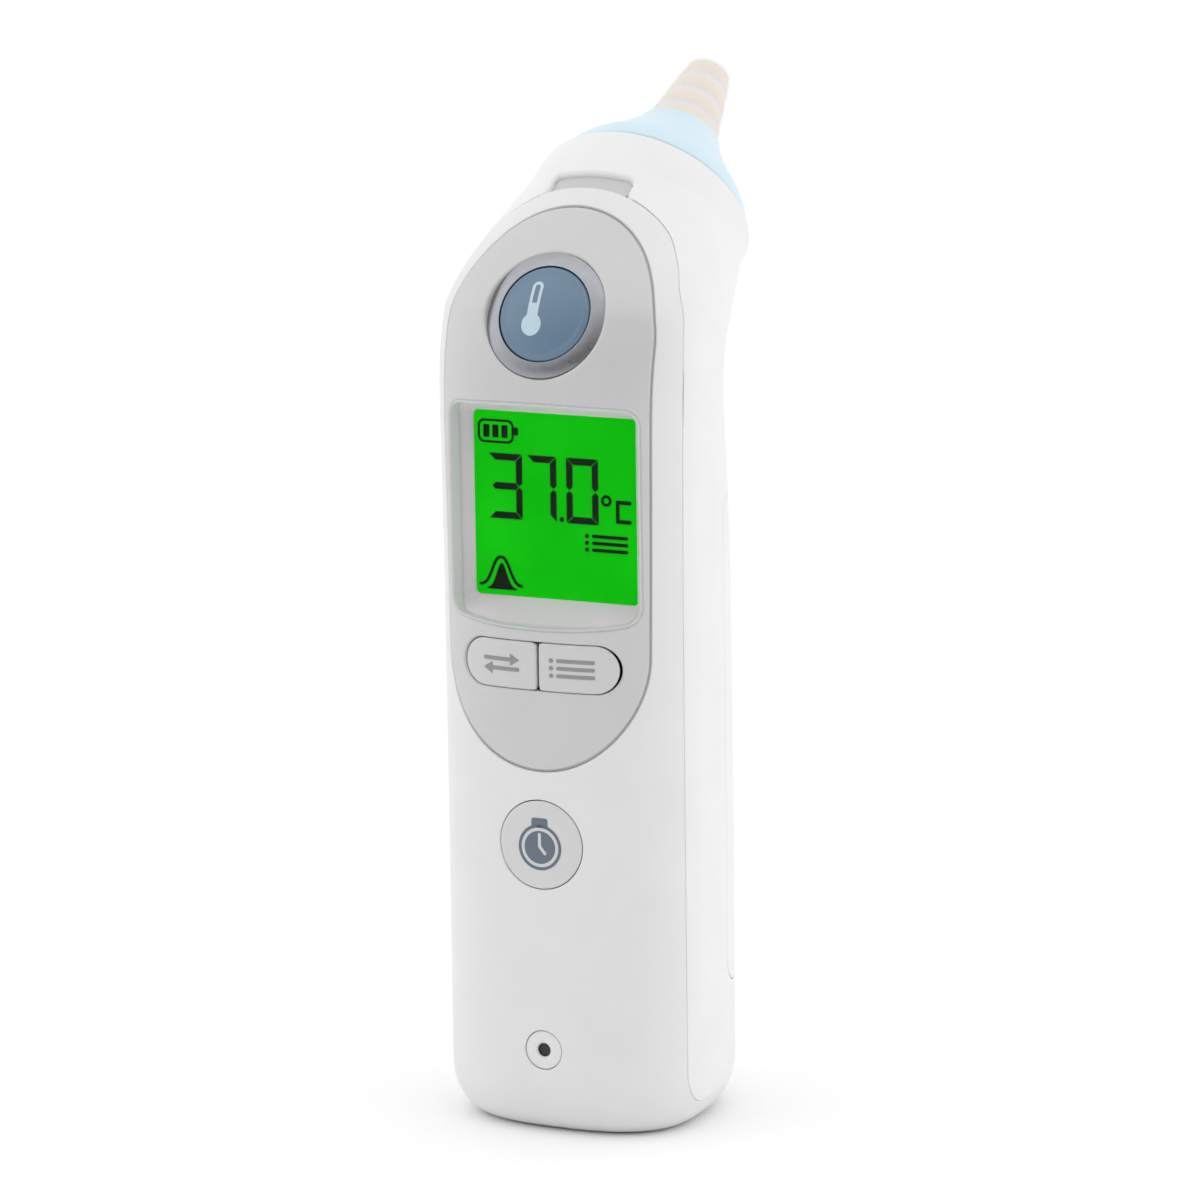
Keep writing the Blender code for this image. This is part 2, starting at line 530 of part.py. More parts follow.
clear_scene()
PARTS = collection("ear_thermometer")
CUTTERS = collection("cutters")
make_shells()
make_front_panel()
make_measure_button()
make_switches()
make_release()
make_display()
make_electronics()
make_batteries()
make_probe()
make_status_light()
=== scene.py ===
"""Looks of the digital ear thermometer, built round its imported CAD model.

Sizes are in millimetres until MM turns them into metres. The body's surface is one formula,
surface(phi, s): phi goes round a section, from the right side to the back, and s goes up the body.
Each shell, panel and key is a patch of that surface, cut along its own outlines, with rolled rims.
An outline on the surface is a list of (phi, s). A shape is a tuple: points, faces and normals.
"""
from math import ceil, cos, pi, radians, sin

import bmesh
import bpy
import numpy as np
from mathutils import Matrix, Vector
from mathutils.bvhtree import BVHTree
from mathutils.geometry import delaunay_2d_cdt


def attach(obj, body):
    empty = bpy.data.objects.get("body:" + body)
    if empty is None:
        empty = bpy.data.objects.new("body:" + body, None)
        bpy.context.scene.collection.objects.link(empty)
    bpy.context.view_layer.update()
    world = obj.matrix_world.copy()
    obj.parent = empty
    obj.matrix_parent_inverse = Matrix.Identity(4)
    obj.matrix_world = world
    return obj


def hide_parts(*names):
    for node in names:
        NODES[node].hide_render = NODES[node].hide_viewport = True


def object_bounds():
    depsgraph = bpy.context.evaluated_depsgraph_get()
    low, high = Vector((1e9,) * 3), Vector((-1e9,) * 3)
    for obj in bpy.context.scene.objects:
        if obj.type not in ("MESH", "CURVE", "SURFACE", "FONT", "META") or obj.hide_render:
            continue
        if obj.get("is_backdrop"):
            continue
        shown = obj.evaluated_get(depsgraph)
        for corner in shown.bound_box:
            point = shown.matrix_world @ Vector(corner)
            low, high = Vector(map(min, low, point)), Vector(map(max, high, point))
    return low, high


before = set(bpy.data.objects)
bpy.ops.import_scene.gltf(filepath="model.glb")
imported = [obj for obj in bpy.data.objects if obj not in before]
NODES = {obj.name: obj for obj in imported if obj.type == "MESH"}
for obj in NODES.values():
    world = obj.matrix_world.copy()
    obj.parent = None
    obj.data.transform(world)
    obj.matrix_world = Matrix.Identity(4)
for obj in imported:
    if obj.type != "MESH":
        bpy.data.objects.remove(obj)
CAD_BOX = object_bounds()
MM = 0.001

# ------------------------------ sizes and places

# Each row is a section: tilt in degrees, Y and Z of its front point, depth, half width, the power
# of its curve, and the share of its depth in front of the widest place. STATION_S is its height.
STATIONS = np.array((
    (0.0, -14.4, 8.0, 36.6, 20.0, 2.6, 0.42),
    (0.0, -14.4, 45.0, 36.8, 20.0, 2.6, 0.42),
    (0.0, -14.4, 75.0, 36.5, 20.0, 2.6, 0.42),
    (1.6, -14.4, 102.0, 34.3, 20.0, 2.6, 0.42),
    (15.0, -11.1, 120.0, 30.4, 20.0, 2.9, 0.42),
    (41.7, 7.4, 139.6, 31.7, 16.8, 2.0, 0.50),
    (52.1, 13.3, 143.7, 32.6, 16.3, 2.0, 0.50),
))
STATION_S = (8.0, 45.0, 75.0, 102.0, 120.0, 146.0, 153.0)
BASE_HIGH, BASE_IN, BASE_CENTRE_S = 8.0, 5.5, -14.0
ROUND = 20.0                    # turns phi into a length, for even spacing
FRONT, BACK = -pi / 2, pi / 2
FRONT_Y, WALL = -14.4, 1.9

# The seam between the housings as Y over Z, its lower corner, and where it becomes the arch.
SEAM_Z = (-5, 104, 114, 122, 127, 130.5, 133, 136, 160)
SEAM_Y = (-5.8, -5.8, -5.4, -3.7, -0.3, 2.1, 3.0, 3.5, 3.9)
SEAM_LOW_Z, SEAM_CORNER, SEAM_TURN_S = 4.0, 5.0, 104.0
DOOR_Y, DOOR_LOW, DOOR_HIGH, DOOR_CORNER = 7.0, 19.5, 92.5, 4.0

EGG_TOP_HALF, EGG_TOP_Z, EGG_TOP_HIGH = 16.8, 116.0, 18.4
EGG_LOW_HALF, EGG_LOW_Z, EGG_LOW_HIGH = 16.3, 71.5, 17.5
PANEL_THICK, PANEL_LIFT, PANEL_EDGE = 1.5, 0.1, -0.3
GROOVE_REACH = 0.68             # its rim starts this far inside its edge
WINDOW_HALF, WINDOW_LOW, WINDOW_HIGH, WINDOW_CORNER = 14.75, 76.6, 106.8, 2.0
WINDOW_SAG, WINDOW_RISE, WINDOW_MIDDLE = 1.3, 0.5, 90
PANE_DOWN, PANE_THICK = -0.45, 0.8
LCD_LEFT, LCD_RIGHT, LCD_LOW, LCD_HIGH, LCD_Y = -12.8, 13.2, 78.35, 105.35, -7.7

KEY_THICK, KEY_DRAFT, PRINT_THICK = 2.0, 0.3, 0.12
PILL_Z, PILL_HALF, PILL_HIGH, PILL_SLACK, PILL_SPLIT = 69.7, 12.2, 3.5, 0.24, 0.16
TIMER_Z, TIMER_R, TIMER_SLACK = 43.5, 6.5, 0.07
RELEASE_Z, RELEASE_R = 12.9, 2.9
RING_Y, RING_Z, RING_TILT, RING_R, MEASURE_R = -9.9, 119.8, 24.5, 9.3, 7.02
DOME_EDGE, DOME_TOP, DOME_R = 0.95, 1.95, 6.1

COLLAR, PROBE_TILT = Vector((0, 23.3, 130.8)), 52.1
NOSE_LONG, NOSE_GROOVES, NOSE_RADII = 30.0, (25.2, 21.4, 17.6), (3.95, 4.6, 5.25)
NOSE_BEIGE, NOSE_LILAC = (0.91, 0.785, 0.63), (0.88, 0.80, 0.80)
LIGHT_PLACE, LIGHT_TILT = Vector((0, 3.8, 136.4)), 50.0
NOTCH_HALF, NOTCH_HIGH, NOTCH_CORNER = 6.2, 2.7, 1.5
STALK_SLOT = (-2.5, 2.5, -11.3, -3.6, 0.8)      # in the probe's X and height, as in rounded()
PAD, PAD_LOW, PAD_LONG = (-4.5, 4.5, -12.2, -6.4, 1.6), -12.4, 6.2

# The joint lines' width, the widths of the rolled edges, and two edges drawn as (out, down) lines:
# the panel's rounded edge with a shallow groove round it, and the window's lip.
JOINT = 0.06
SEAM_RIM, NOTCH_RIM, MOUTH_RIM, HOLE_RIM, RING_RIM = 0.15, 0.8, 0.7, 0.2, 0.5
PILL_RIM, KEY_RIM = 0.45, 0.45
PANEL_LINE = ((0.1, 0.01), (0.2, 0.05), (0.28, 0.13), (0.32, 0.3), (0.36, 0.48), (0.44, 0.54),
              (0.8, 0.54), (0.8, 1.4))
WINDOW_LINE = ((0.07, 0.06), (0.15, 0.15), (0.22, 0.14), (0.3, 0.02), (0.38, -0.08), (0.46, -0.1),
               (0.54, -0.04), (0.59, 0.08), (0.6, 0.2), (0.6, 1.4))


# ------------------------------ the body's surface

def smooth(knots, values, x):
    """Monotone cubic through (knots, values), where values may have columns."""
    knots, values, x = (np.asarray(given, float) for given in (knots, values, x))
    table = values if values.ndim > 1 else values[:, None]
    gap = np.diff(knots)[:, None]
    rate = np.diff(table, axis=0) / gap
    slopes = np.zeros_like(table)
    one, two = 2 * gap[1:] + gap[:-1], gap[1:] + 2 * gap[:-1]
    same = rate[:-1] * rate[1:] > 0
    safe = np.where(same, rate[:-1], 1), np.where(same, rate[1:], 1)
    slopes[1:-1] = np.where(same, (one + two) / (one / safe[0] + two / safe[1]), 0)
    for end, near, far in ((0, 0, 1), (-1, -1, -2)):
        guess = (2 * gap[near] + gap[far]) * rate[near] - gap[near] * rate[far]
        guess = guess / (gap[near] + gap[far])
        slopes[end] = np.where(guess * rate[near] > 0, guess, 0)
    k = np.clip(np.searchsorted(knots, x, "right") - 1, 0, len(knots) - 2)
    h, u = gap[k], ((x - knots[k]) / gap[k][..., 0])[..., None]
    found = (table[k] * (1 + 2 * u) * (1 - u) ** 2 + table[k + 1] * u ** 2 * (3 - 2 * u)
             + h * (slopes[k] * u * (1 - u) ** 2 - slopes[k + 1] * u ** 2 * (1 - u)))
    return found if values.ndim > 1 else found[..., 0]


def surface(phi, s, lift=0.0):
    """Points of the body's surface in millimetres, moved outwards by lift."""
    phi, s, lift = np.broadcast_arrays(*(np.asarray(given, float) for given in (phi, s, lift)))
    row = np.interp(s, STATION_S, range(len(STATION_S)))
    tilt, front_y, front_z, depth, half, power, widest = np.moveaxis(
        smooth(range(len(STATIONS)), STATIONS, row), -1, 0)
    turn = np.clip((BASE_HIGH - s) / BASE_HIGH, 0, 1) * pi / 2
    inset = BASE_IN * (1 - np.cos(turn)) - lift * np.cos(turn)
    reach = np.where(np.sin(phi) < 0, depth * widest, depth * (1 - widest)) - inset
    radius = (np.abs(np.cos(phi) / (half - inset)) ** power
              + np.abs(np.sin(phi) / reach) ** power) ** (-1 / power)
    radius = radius * np.clip(1 - s / BASE_CENTRE_S, 0, 1)
    lean = np.radians(tilt)
    along = depth * widest + radius * np.sin(phi)
    drop = (BASE_HIGH + lift) * np.sin(turn)
    return np.stack((radius * np.cos(phi), front_y + np.cos(lean) * along,
                     front_z - np.sin(lean) * along - drop), -1)


def normals_at(phi, s, lift=0.0):
    step = 0.01
    across = surface(phi + step / ROUND, s, lift) - surface(phi - step / ROUND, s, lift)
    up = surface(phi, s + step, lift) - surface(phi, s - step, lift)
    normal = np.cross(across, up)
    normal = np.where((np.asarray(s) < 0)[..., None], (0.0, 0.0, -1.0), normal)
    return normal / np.linalg.norm(normal, axis=-1, keepdims=True)


GRID_PHI = np.linspace(-pi, pi, 241)
GRID_S = np.linspace(-13, 153, 200)


def make_ground():
    """A coarse mesh of the surface, where land() finds its first guesses."""
    points = surface(*np.meshgrid(GRID_PHI, GRID_S)).reshape(-1, 3)
    wide = len(GRID_PHI)
    quads = [(k, k + 1, k + wide + 1, k + wide)
             for j in range(len(GRID_S) - 1) for k in range(j * wide, (j + 1) * wide - 1)]
    return BVHTree.FromPolygons(points.tolist(), quads)


GROUND = make_ground()


def land(points, way):
    """(phi, s) where lines through the points meet the body, coming from outside along way."""
    points, way = np.asarray(points, float), np.asarray(way, float)
    start = points - 90 * way
    found = np.zeros((len(points), 3))
    half_column = 0.5 * (GRID_PHI[1] - GRID_PHI[0])
    for k, origin in enumerate(start):
        _, _, index, distance = GROUND.ray_cast(Vector(origin), Vector(way))
        row, column = divmod(index, len(GRID_PHI) - 1)
        found[k] = GRID_PHI[column] + half_column, GRID_S[row] + 0.4, distance
    step = 1e-3
    for _ in range(8):
        phi, s, far = found.T
        here = surface(phi, s)
        miss = here - start - far[:, None] * way
        slope = np.stack(((surface(phi + step, s) - here) / step,
                          (surface(phi, s + step) - here) / step,
                          np.broadcast_to(-way, here.shape)), -1)
        found -= np.linalg.solve(slope, miss[..., None])[..., 0]
    return found[:, :2]


def root(f, low, high, count):
    """Where each of count values of f changes sign between low and high, found by halving."""
    low, high = np.full(count, float(low)), np.full(count, float(high))
    rising = f(high) > 0
    for _ in range(45):
        middle = (low + high) / 2
        above = (f(middle) > 0) == rising
        high, low = np.where(above, middle, high), np.where(above, low, middle)
    return (low + high) / 2


# ------------------------------ flat outlines

def arc(x, z, rx, rz, start, end, steps=24):
    angles = np.radians(np.linspace(start, end, steps + 1))
    return [(x + rx * cos(a), z + rz * sin(a)) for a in angles]


def rounded(x0, x1, z0, z1, r):
    """A rectangle with round corners."""
    return (arc(x1 - r, z1 - r, r, r, 0, 90, 8) + arc(x0 + r, z1 - r, r, r, 90, 180, 8)
            + arc(x0 + r, z0 + r, r, r, 180, 270, 8) + arc(x1 - r, z0 + r, r, r, 270, 360, 8))


def circle(r, x=0.0, z=0.0, steps=64):
    return arc(x, z, r, r, 0, 360, steps)[:-1]


def egg():
    """The front panel's outline."""
    return (arc(0, EGG_TOP_Z, EGG_TOP_HALF, EGG_TOP_HIGH, 0, 180, 80)
            + arc(0, EGG_LOW_Z, EGG_LOW_HALF, EGG_LOW_HIGH, 180, 360, 80))


def pill_half(side, grow):
    """One key of the long button, with its straight edge at the split."""
    outer, high, inner = PILL_HALF + grow, PILL_HIGH + grow, PILL_SPLIT - grow
    points = arc(outer - high, PILL_Z, high, high, -90, 90, 28)
    points += [(inner, PILL_Z + high), (inner, PILL_Z - high)]
    return [(side * x, z) for x, z in points][::side]


def pill(grow):
    """The long button's hole in the panel."""
    outer, high = PILL_HALF + PILL_SLACK + grow, PILL_HIGH + grow
    return (arc(outer - high, PILL_Z, high, high, -90, 90, 28)
            + arc(high - outer, PILL_Z, high, high, 90, 270, 28))


def even(points, step=0.45, closed=True):
    """The same line with points no further apart than step, and none nearly on each other."""
    points = [np.asarray(p, float) for p in points]
    ends = points[1:] + ([points[0]] if closed else [])
    found = []
    for a, b in zip(points, ends):
        far = np.linalg.norm(b - a)
        if far > 1e-6:
            count = ceil(far / step)
            found += [a + (b - a) * k / count for k in range(count)]
    if not closed:
        found.append(points[-1])
    kept = [found[0]]
    for point in found[1:]:
        if np.linalg.norm(point - kept[-1]) > 0.3 * step:
            kept.append(point)
    if closed and np.linalg.norm(kept[-1] - kept[0]) < 0.3 * step:
        kept.pop()
    return np.array(kept)


def window():
    """The window's outline: nearly a rectangle, its lower edge sagging, its upper one rising."""
    found = []
    corners = rounded(-WINDOW_HALF, WINDOW_HALF, WINDOW_LOW, WINDOW_HIGH, WINDOW_CORNER)
    for x, z in even(corners, 0.5):
        bow = 1 - (x / WINDOW_HALF) ** 2
        found.append((x, z - WINDOW_SAG * bow if z < WINDOW_MIDDLE else z + WINDOW_RISE * bow))
    return found


def stroke(points, width):
    """The outline of a pen line of that width, with round ends and mitred bends."""
    line, half = np.array(points, float), width / 2
    way = np.diff(line, axis=0)
    way /= np.linalg.norm(way, axis=1, keepdims=True)
    before, after = np.vstack((way[:1], way)), np.vstack((way, way[-1:]))
    side = np.stack((-(before + after)[:, 1], (before + after)[:, 0]), -1)
    side *= (half / (1 + (before * after).sum(1)))[:, None]
    caps = []
    for end, heading in ((line[-1], way[-1]), (line[0], -way[0])):
        turn = np.degrees(np.arctan2(heading[1], heading[0]))
        caps.append(arc(*end, half, half, turn + 90, turn - 90, 10)[1:-1])
    return (line + side).tolist() + caps[0] + (line - side)[::-1].tolist() + caps[1]


# ------------------------------ frames and landed outlines

def axis_frame(origin, direction):
    """Local Z along direction, local X along the part's X, origin in millimetres."""
    z = Vector(direction).normalized()
    x = Vector((1, 0, 0))
    found = Matrix((x, z.cross(x), z)).transposed().to_4x4()
    found.translation = Vector(origin) * MM
    return found


def facing(z, y=FRONT_Y):
    """The frame of something that faces the front."""
    return axis_frame((0, y, z), (0, -1, 0))


AXIS = Vector((0, sin(radians(PROBE_TILT)), cos(radians(PROBE_TILT))))
PROBE = axis_frame(COLLAR, AXIS)
RING = axis_frame((0, RING_Y, RING_Z), (0, -cos(radians(RING_TILT)), sin(radians(RING_TILT))))
LIGHT = axis_frame(LIGHT_PLACE, (0, -cos(radians(LIGHT_TILT)), sin(radians(LIGHT_TILT))))


def on_front(outline, step=0.45):
    """An (x, z) outline seen from the front."""
    return land(np.insert(even(outline, step), 1, 0, axis=1), (0, 1, 0))


def on_side(flat):
    """A (y, z) line seen from the right side."""
    return land(np.insert(flat, 0, 0, axis=1), (-1, 0, 0))


def on_frame(place, outline, step=0.45, closed=True):
    """An outline in a frame's own X and Y, seen along its Z."""
    flat = even(outline, step, closed)
    points = [tuple((place @ Vector((x * MM, y * MM, 0))) / MM) for x, y in flat]
    return land(points, tuple(-place.col[2].xyz))


def under_head(outline, step=0.45):
    """An outline in the probe's own X and height, seen from below the head."""
    points = [tuple(PROBE @ Vector((x * MM, 0, z * MM)) / MM) for x, z in even(outline, step)]
    return land(points, tuple(-PROBE.col[1].xyz))


def grown(loop, by):
    """A loop on the surface moved outwards by a length along the surface."""
    step = 1e-3
    phi, s = loop.T
    place = surface(phi, s)
    slope = np.stack((surface(phi + step, s) - place, surface(phi, s + step) - place), -1) / step
    out = np.cross(np.roll(place, -1, 0) - np.roll(place, 1, 0), normals_at(phi, s))
    way = np.sign((out * (place - place.mean(0))).sum())
    out *= by * way / np.linalg.norm(out, axis=1, keepdims=True)
    return loop + (np.linalg.pinv(slope) @ out[..., None])[..., 0]


def evened(line, step=0.5):
    """A line on the surface with even steps in millimetres."""
    lengths = np.linalg.norm(np.diff(line * (ROUND, 1.0), axis=0), axis=1)
    far = np.concatenate(((0,), np.cumsum(lengths)))
    at = np.linspace(0, far[-1], max(2, int(far[-1] / step)))
    return np.stack([np.interp(at, far, line[:, k]) for k in (0, 1)], -1)


# ------------------------------ patches of the surface

def round_rim(width, depth, thick, steps=5, draft=0.0):
    """Rings of a rolled edge: (how far out, how far down, tilt of the normal), with the wall
    below it leaning in by draft."""
    rings = []
    for k in range(1, steps + 1):
        a = k / steps * pi / 2
        tilt = np.arctan2(sin(a) / width, cos(a) / depth)
        rings.append((width * sin(a), depth * (1 - cos(a)), tilt))
    rings.append((width - draft, thick - 0.12, pi / 2))
    rings.append((width - draft - 0.1, thick, 0.8 * pi))
    return rings


def drawn_rim(line, thick):
    """Rings of an edge drawn as an (out, down) line, tilted between its neighbours' slopes."""
    path = np.array(((-0.1, 0.0), (0.0, 0.0)) + line)
    slopes = np.arctan2(*np.diff(path, axis=0).T[::-1])
    tilts = np.append((slopes[1:-1] + slopes[2:]) / 2, slopes[-1])
    rings = [(far, down, tilt) for (far, down), tilt in zip(line, tilts)]
    return rings + [(line[-1][0] - 0.1, thick, 0.8 * pi)]


def inside(points, loops):
    """Which flat points are inside the first loop and outside the others."""
    x, y = points[:, :1], points[:, 1:]
    kept = np.ones(len(points), bool)
    for k, loop in enumerate(loops):
        ax, ay = loop[:, 0], loop[:, 1]
        bx, by = np.roll(ax, -1), np.roll(ay, -1)
        rise = np.where(by == ay, 1e-12, by - ay)
        crosses = ((ay > y) != (by > y)) & (x < (bx - ax) * (y - ay) / rise + ax)
        kept &= (crosses.sum(1) % 2 == 1) == (k == 0)
    return kept


def spread(loops, spacing):
    """Points of an even triangular grid between the loops and clear of them."""
    low, high = loops[0].min(0), loops[0].max(0)
    rows = np.arange(low[1], high[1], spacing * 0.866)
    points = np.array([(x, z) for j, z in enumerate(rows)
                       for x in np.arange(low[0] + (j % 2) * spacing / 2, high[0], spacing)])
    points = points[inside(points, loops)]
    edge = np.concatenate(loops)
    clear = np.ones(len(points), bool)
    for k in range(0, len(points), 1500):
        near = np.linalg.norm(points[k:k + 1500, None] - edge[None], axis=2).min(1)
        clear[k:k + 1500] = near > 0.55 * spacing
    return points[clear]


def triangulate(loops, spacing):
    """(points, triangles) of the flat region inside the first loop and outside the others."""
    flat = [np.asarray(loop, float) for loop in loops]
    points = np.concatenate(flat + [spread(flat, spacing)])
    edges, start = [], 0
    for loop in flat:
        edges += [(start + k, start + (k + 1) % len(loop)) for k in range(len(loop))]
        start += len(loop)
    made = delaunay_2d_cdt([Vector(p) for p in points], edges, [], 0, 1e-7)
    found = np.array([tuple(p) for p in made[0]])
    faces = np.array([f for f in made[2] if len(f) == 3])
    return found, faces[inside(found[faces].mean(1), flat)]


def boundary_loops(faces):
    """Closed rings of boundary vertices, with the surface on their left."""
    pairs = np.concatenate((faces[:, [0, 1]], faces[:, [1, 2]], faces[:, [2, 0]]))
    known = {tuple(p) for p in pairs.tolist()}
    after = {a: b for a, b in known if (b, a) not in known}
    loops = []
    while after:
        loop = [next(iter(after))]
        while (ahead := after.pop(loop[-1])) != loop[0]:
            loop.append(ahead)
        loops.append(loop)
    return loops


def merged(points, faces, *columns):
    """The same surface with the points that lie in one place made one, such as at a wrap."""
    _, first, index = np.unique(np.round(points, 4), axis=0, return_index=True,
                                return_inverse=True)
    faces = index.reshape(-1)[faces]
    good = (faces != np.roll(faces, 1, 1)).all(1)
    return (points[first], faces[good], *[column[first] for column in columns])


def rimmed(outer, normals, inner, faces, rim_of):
    """A closed solid from an outer and an inner surface, joined by rolled rims."""
    points, shade, quads = [outer], [normals], []
    count = len(outer)
    tucked = {}
    for loop in boundary_loops(faces):
        ids = np.array(loop)
        place, normal = outer[ids], normals[ids]
        out = np.cross(np.roll(place, -1, 0) - np.roll(place, 1, 0), normal)
        out /= np.linalg.norm(out, axis=1, keepdims=True)
        last = ids
        for step in rim_of(place):
            far, down, tilt = (np.reshape(value, (-1, 1)) for value in step)
            ring = np.arange(len(ids)) + count
            count += len(ids)
            points.append(place + out * far - normal * down)
            shade.append(normal * np.cos(tilt) + out * np.sin(tilt))
            quads += np.stack((last, ring, np.roll(ring, -1), np.roll(last, -1)), -1).tolist()
            last = ring
        tucked.update(zip(ids.tolist(), last.tolist()))
    below = np.arange(len(inner)) + count
    own = np.ones(len(inner), bool)
    for above, ring in tucked.items():
        below[above] = ring
        own[above] = False
    below[own] = (np.cumsum(own) - 1 + count)[own]
    points.append(inner[own])
    shade.append(-normals[own])
    sides = faces.tolist() + quads + below[faces][:, ::-1].tolist()
    return np.concatenate(points), sides, np.concatenate(shade)


def summed_normals(points, faces):
    """A normal at each point, from the triangles round it."""
    sides = points[faces]
    turn = np.cross(sides[:, 1] - sides[:, 0], sides[:, 2] - sides[:, 0])
    normals = np.zeros_like(points)
    for corner in range(3):
        np.add.at(normals, faces[:, corner], turn)
    return normals / np.linalg.norm(normals, axis=1, keepdims=True)


def skin(loops, lift=0.0, thick=WALL, rim=None, spacing=1.0):
    """A piece of the body's skin from outlines on the surface, the outer one first.
    lift may be a function of phi and s. rim is a ring list, or a function of a loop's points."""
    stretch = np.array((ROUND, 1.0))
    flat, faces = triangulate([loop * stretch for loop in loops], spacing)
    phi, s = (flat / stretch).T
    height = lift(phi, s) if callable(lift) else np.full(len(phi), lift)
    outer = surface(phi, s, height)
    normals = summed_normals(outer, faces) if callable(lift) else normals_at(phi, s, lift)
    inner = surface(phi, s, height.min() - thick)
    outer, faces, normals, inner = merged(outer, faces, normals, inner)
    rim = rim or round_rim(HOLE_RIM, HOLE_RIM, thick)
    return rimmed(outer, normals, inner, faces, rim if callable(rim) else lambda place: rim)


def slab(loops, height, thick, rim, spacing=1.0):
    """A plate in its own X and Y. height is a level, or a function of x and y."""
    flat, faces = triangulate(loops, spacing)
    x, y = flat.T
    level = height(x, y) if callable(height) else np.full(len(x), height)
    outer = np.stack((x, y, level), -1)
    inner = np.stack((x, y, np.full(len(x), level.min() - thick)), -1)
    return rimmed(outer, summed_normals(outer, faces), inner, faces, lambda place: rim)


def flow(points, steps):
    """A smooth line through points."""
    last = len(points) - 1
    return smooth(range(len(points)), points, np.linspace(0, last, steps * last + 1))


def turned(profile, steps=96):
    """A turned shape about Z from (radius, height) points, closed if they are off the axis."""
    points, rows = [], []
    for r, z in profile:
        count = 1 if r < 1e-4 else steps
        rows.append([len(points) + k % count for k in range(steps + 1)])
        around = np.linspace(0, 2 * pi, count, endpoint=False)
        points += [(r * cos(a), r * sin(a), z) for a in around]
    if len(set(rows[0])) > 1:
        rows.append(rows[0])
    faces = []
    for low, high in zip(rows, rows[1:]):
        for k in range(steps):
            corners = (low[k], low[k + 1], high[k + 1], high[k])
            face = [c for j, c in enumerate(corners) if c not in corners[:j]]
            if len(face) > 2:
                faces.append(face)
    return np.array(points), faces, None


def ring_loft(sections):
    """A closed band through sections, each a closed ring of points of the same count."""
    across, total = len(sections[0]), sum(map(len, sections))
    faces = []
    for here in range(0, total, across):
        there = (here + across) % total
        for k in range(across):
            n = (k + 1) % across
            faces.append((here + k, here + n, there + n, there + k))
    return np.concatenate(sections), faces, None


def joined(shapes):
    """Several shapes as one."""
    faces, start = [], 0
    for points, sides, _ in shapes:
        faces += [[start + int(corner) for corner in side] for side in sides]
        start += len(points)
    points, _, shades = zip(*shapes)
    return np.concatenate(points), faces, np.concatenate(shades)


def flipped(shape):
    """The shape with its Y turned the other way."""
    points, faces, shade = shape
    flip = np.array((1, -1, 1))
    return points * flip, [face[::-1] for face in faces], shade * flip


def mesh_from(name, points, faces, shade):
    """A mesh with the given normals, or else with edges over 38 degrees sharp."""
    mesh = bpy.data.meshes.new(name)
    mesh.from_pydata((points * MM).tolist(), [], faces)
    mesh.shade_smooth()
    if shade is not None:
        mesh.normals_split_custom_set_from_vertices(shade.tolist())
        return mesh
    bm = bmesh.new()
    bm.from_mesh(mesh)
    bmesh.ops.recalc_face_normals(bm, faces=bm.faces)
    bm.to_mesh(mesh)
    bm.free()
    mesh.set_sharp_from_angle(angle=radians(38))
    return mesh


def show(name, shape, look, body, slot, *replaced, place=Matrix.Identity(4)):
    """Puts a shape or a curve in the scene as a piece that rides on a body."""
    data = shape
    if isinstance(shape, tuple):
        points, faces, shade = shape
        turn, shift = np.array(place.to_3x3()), np.array(place.translation) / MM
        shade = None if shade is None else shade @ turn.T
        data = mesh_from(name, points @ turn.T + shift, faces, shade)
        place = Matrix.Identity(4)
    made = bpy.data.objects.new(name, data)
    bpy.context.scene.collection.objects.link(made)
    made.matrix_world = place
    data.materials.append(look)
    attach(made, body)
    if replaced:
        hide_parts(*replaced)


# ------------------------------ outlines of the shells

def seam_gap(points, push):
    return points[..., 1] - smooth(SEAM_Z, SEAM_Y, points[..., 2]) - push


def seam_right(push):
    """The seam's right half as three lines on the surface, moved back by push: round the back
    with its low corner, up the side, and the arch over the front."""
    around = np.linspace(BACK, -0.05, 60)
    low_z = SEAM_LOW_Z + push
    low_s = root(lambda s: surface(around, s)[:, 2] - low_z, 0.1, 12.0, len(around))
    y, z, r = SEAM_Y[0] + SEAM_CORNER, SEAM_LOW_Z + SEAM_CORNER, SEAM_CORNER - push
    corner = on_side(even(arc(y, z, r, r, 270, 180, 20), 0.4, closed=False))
    low = np.stack((around, low_s), -1)
    low = low[surface(*low.T)[:, 1] > y + 0.3]
    side_s = np.linspace(corner[-1, 1], SEAM_TURN_S, 240)[1:]
    side_phi = root(lambda phi: seam_gap(surface(phi, side_s), push), FRONT, 0.6, len(side_s))
    turn = 1 - np.cos(np.linspace(0, pi / 2, 160)[1:])
    fan = side_phi[-1] - (side_phi[-1] - FRONT) * turn
    arch_s = root(lambda s: seam_gap(surface(fan, s), push), SEAM_TURN_S - 2, 150.0, len(fan))
    return (evened(np.concatenate((low, corner))), evened(np.stack((side_phi, side_s), -1)),
            np.stack((fan, arch_s), -1))


def mirrored(line):
    return np.stack((-pi - line[:, 0], line[:, 1]), -1)[::-1]


def front_outline():
    """The front housing's outline with the whole base, from the back round the front and back."""
    low, side, arch = seam_right(-SEAM_RIM)
    right = np.concatenate((low, side[1:], evened(arch)[1:]))
    left = mirrored(right)
    down = evened(np.array((left[-1], (-pi - BACK, BASE_CENTRE_S))))
    centre = evened(np.array(((-pi - BACK, BASE_CENTRE_S), (BACK, BASE_CENTRE_S))), 2.0)
    up = down[::-1] + (2 * pi, 0)
    return np.concatenate((right[:-1], left[:-1], down[:-1], centre[:-1], up[:-1]))


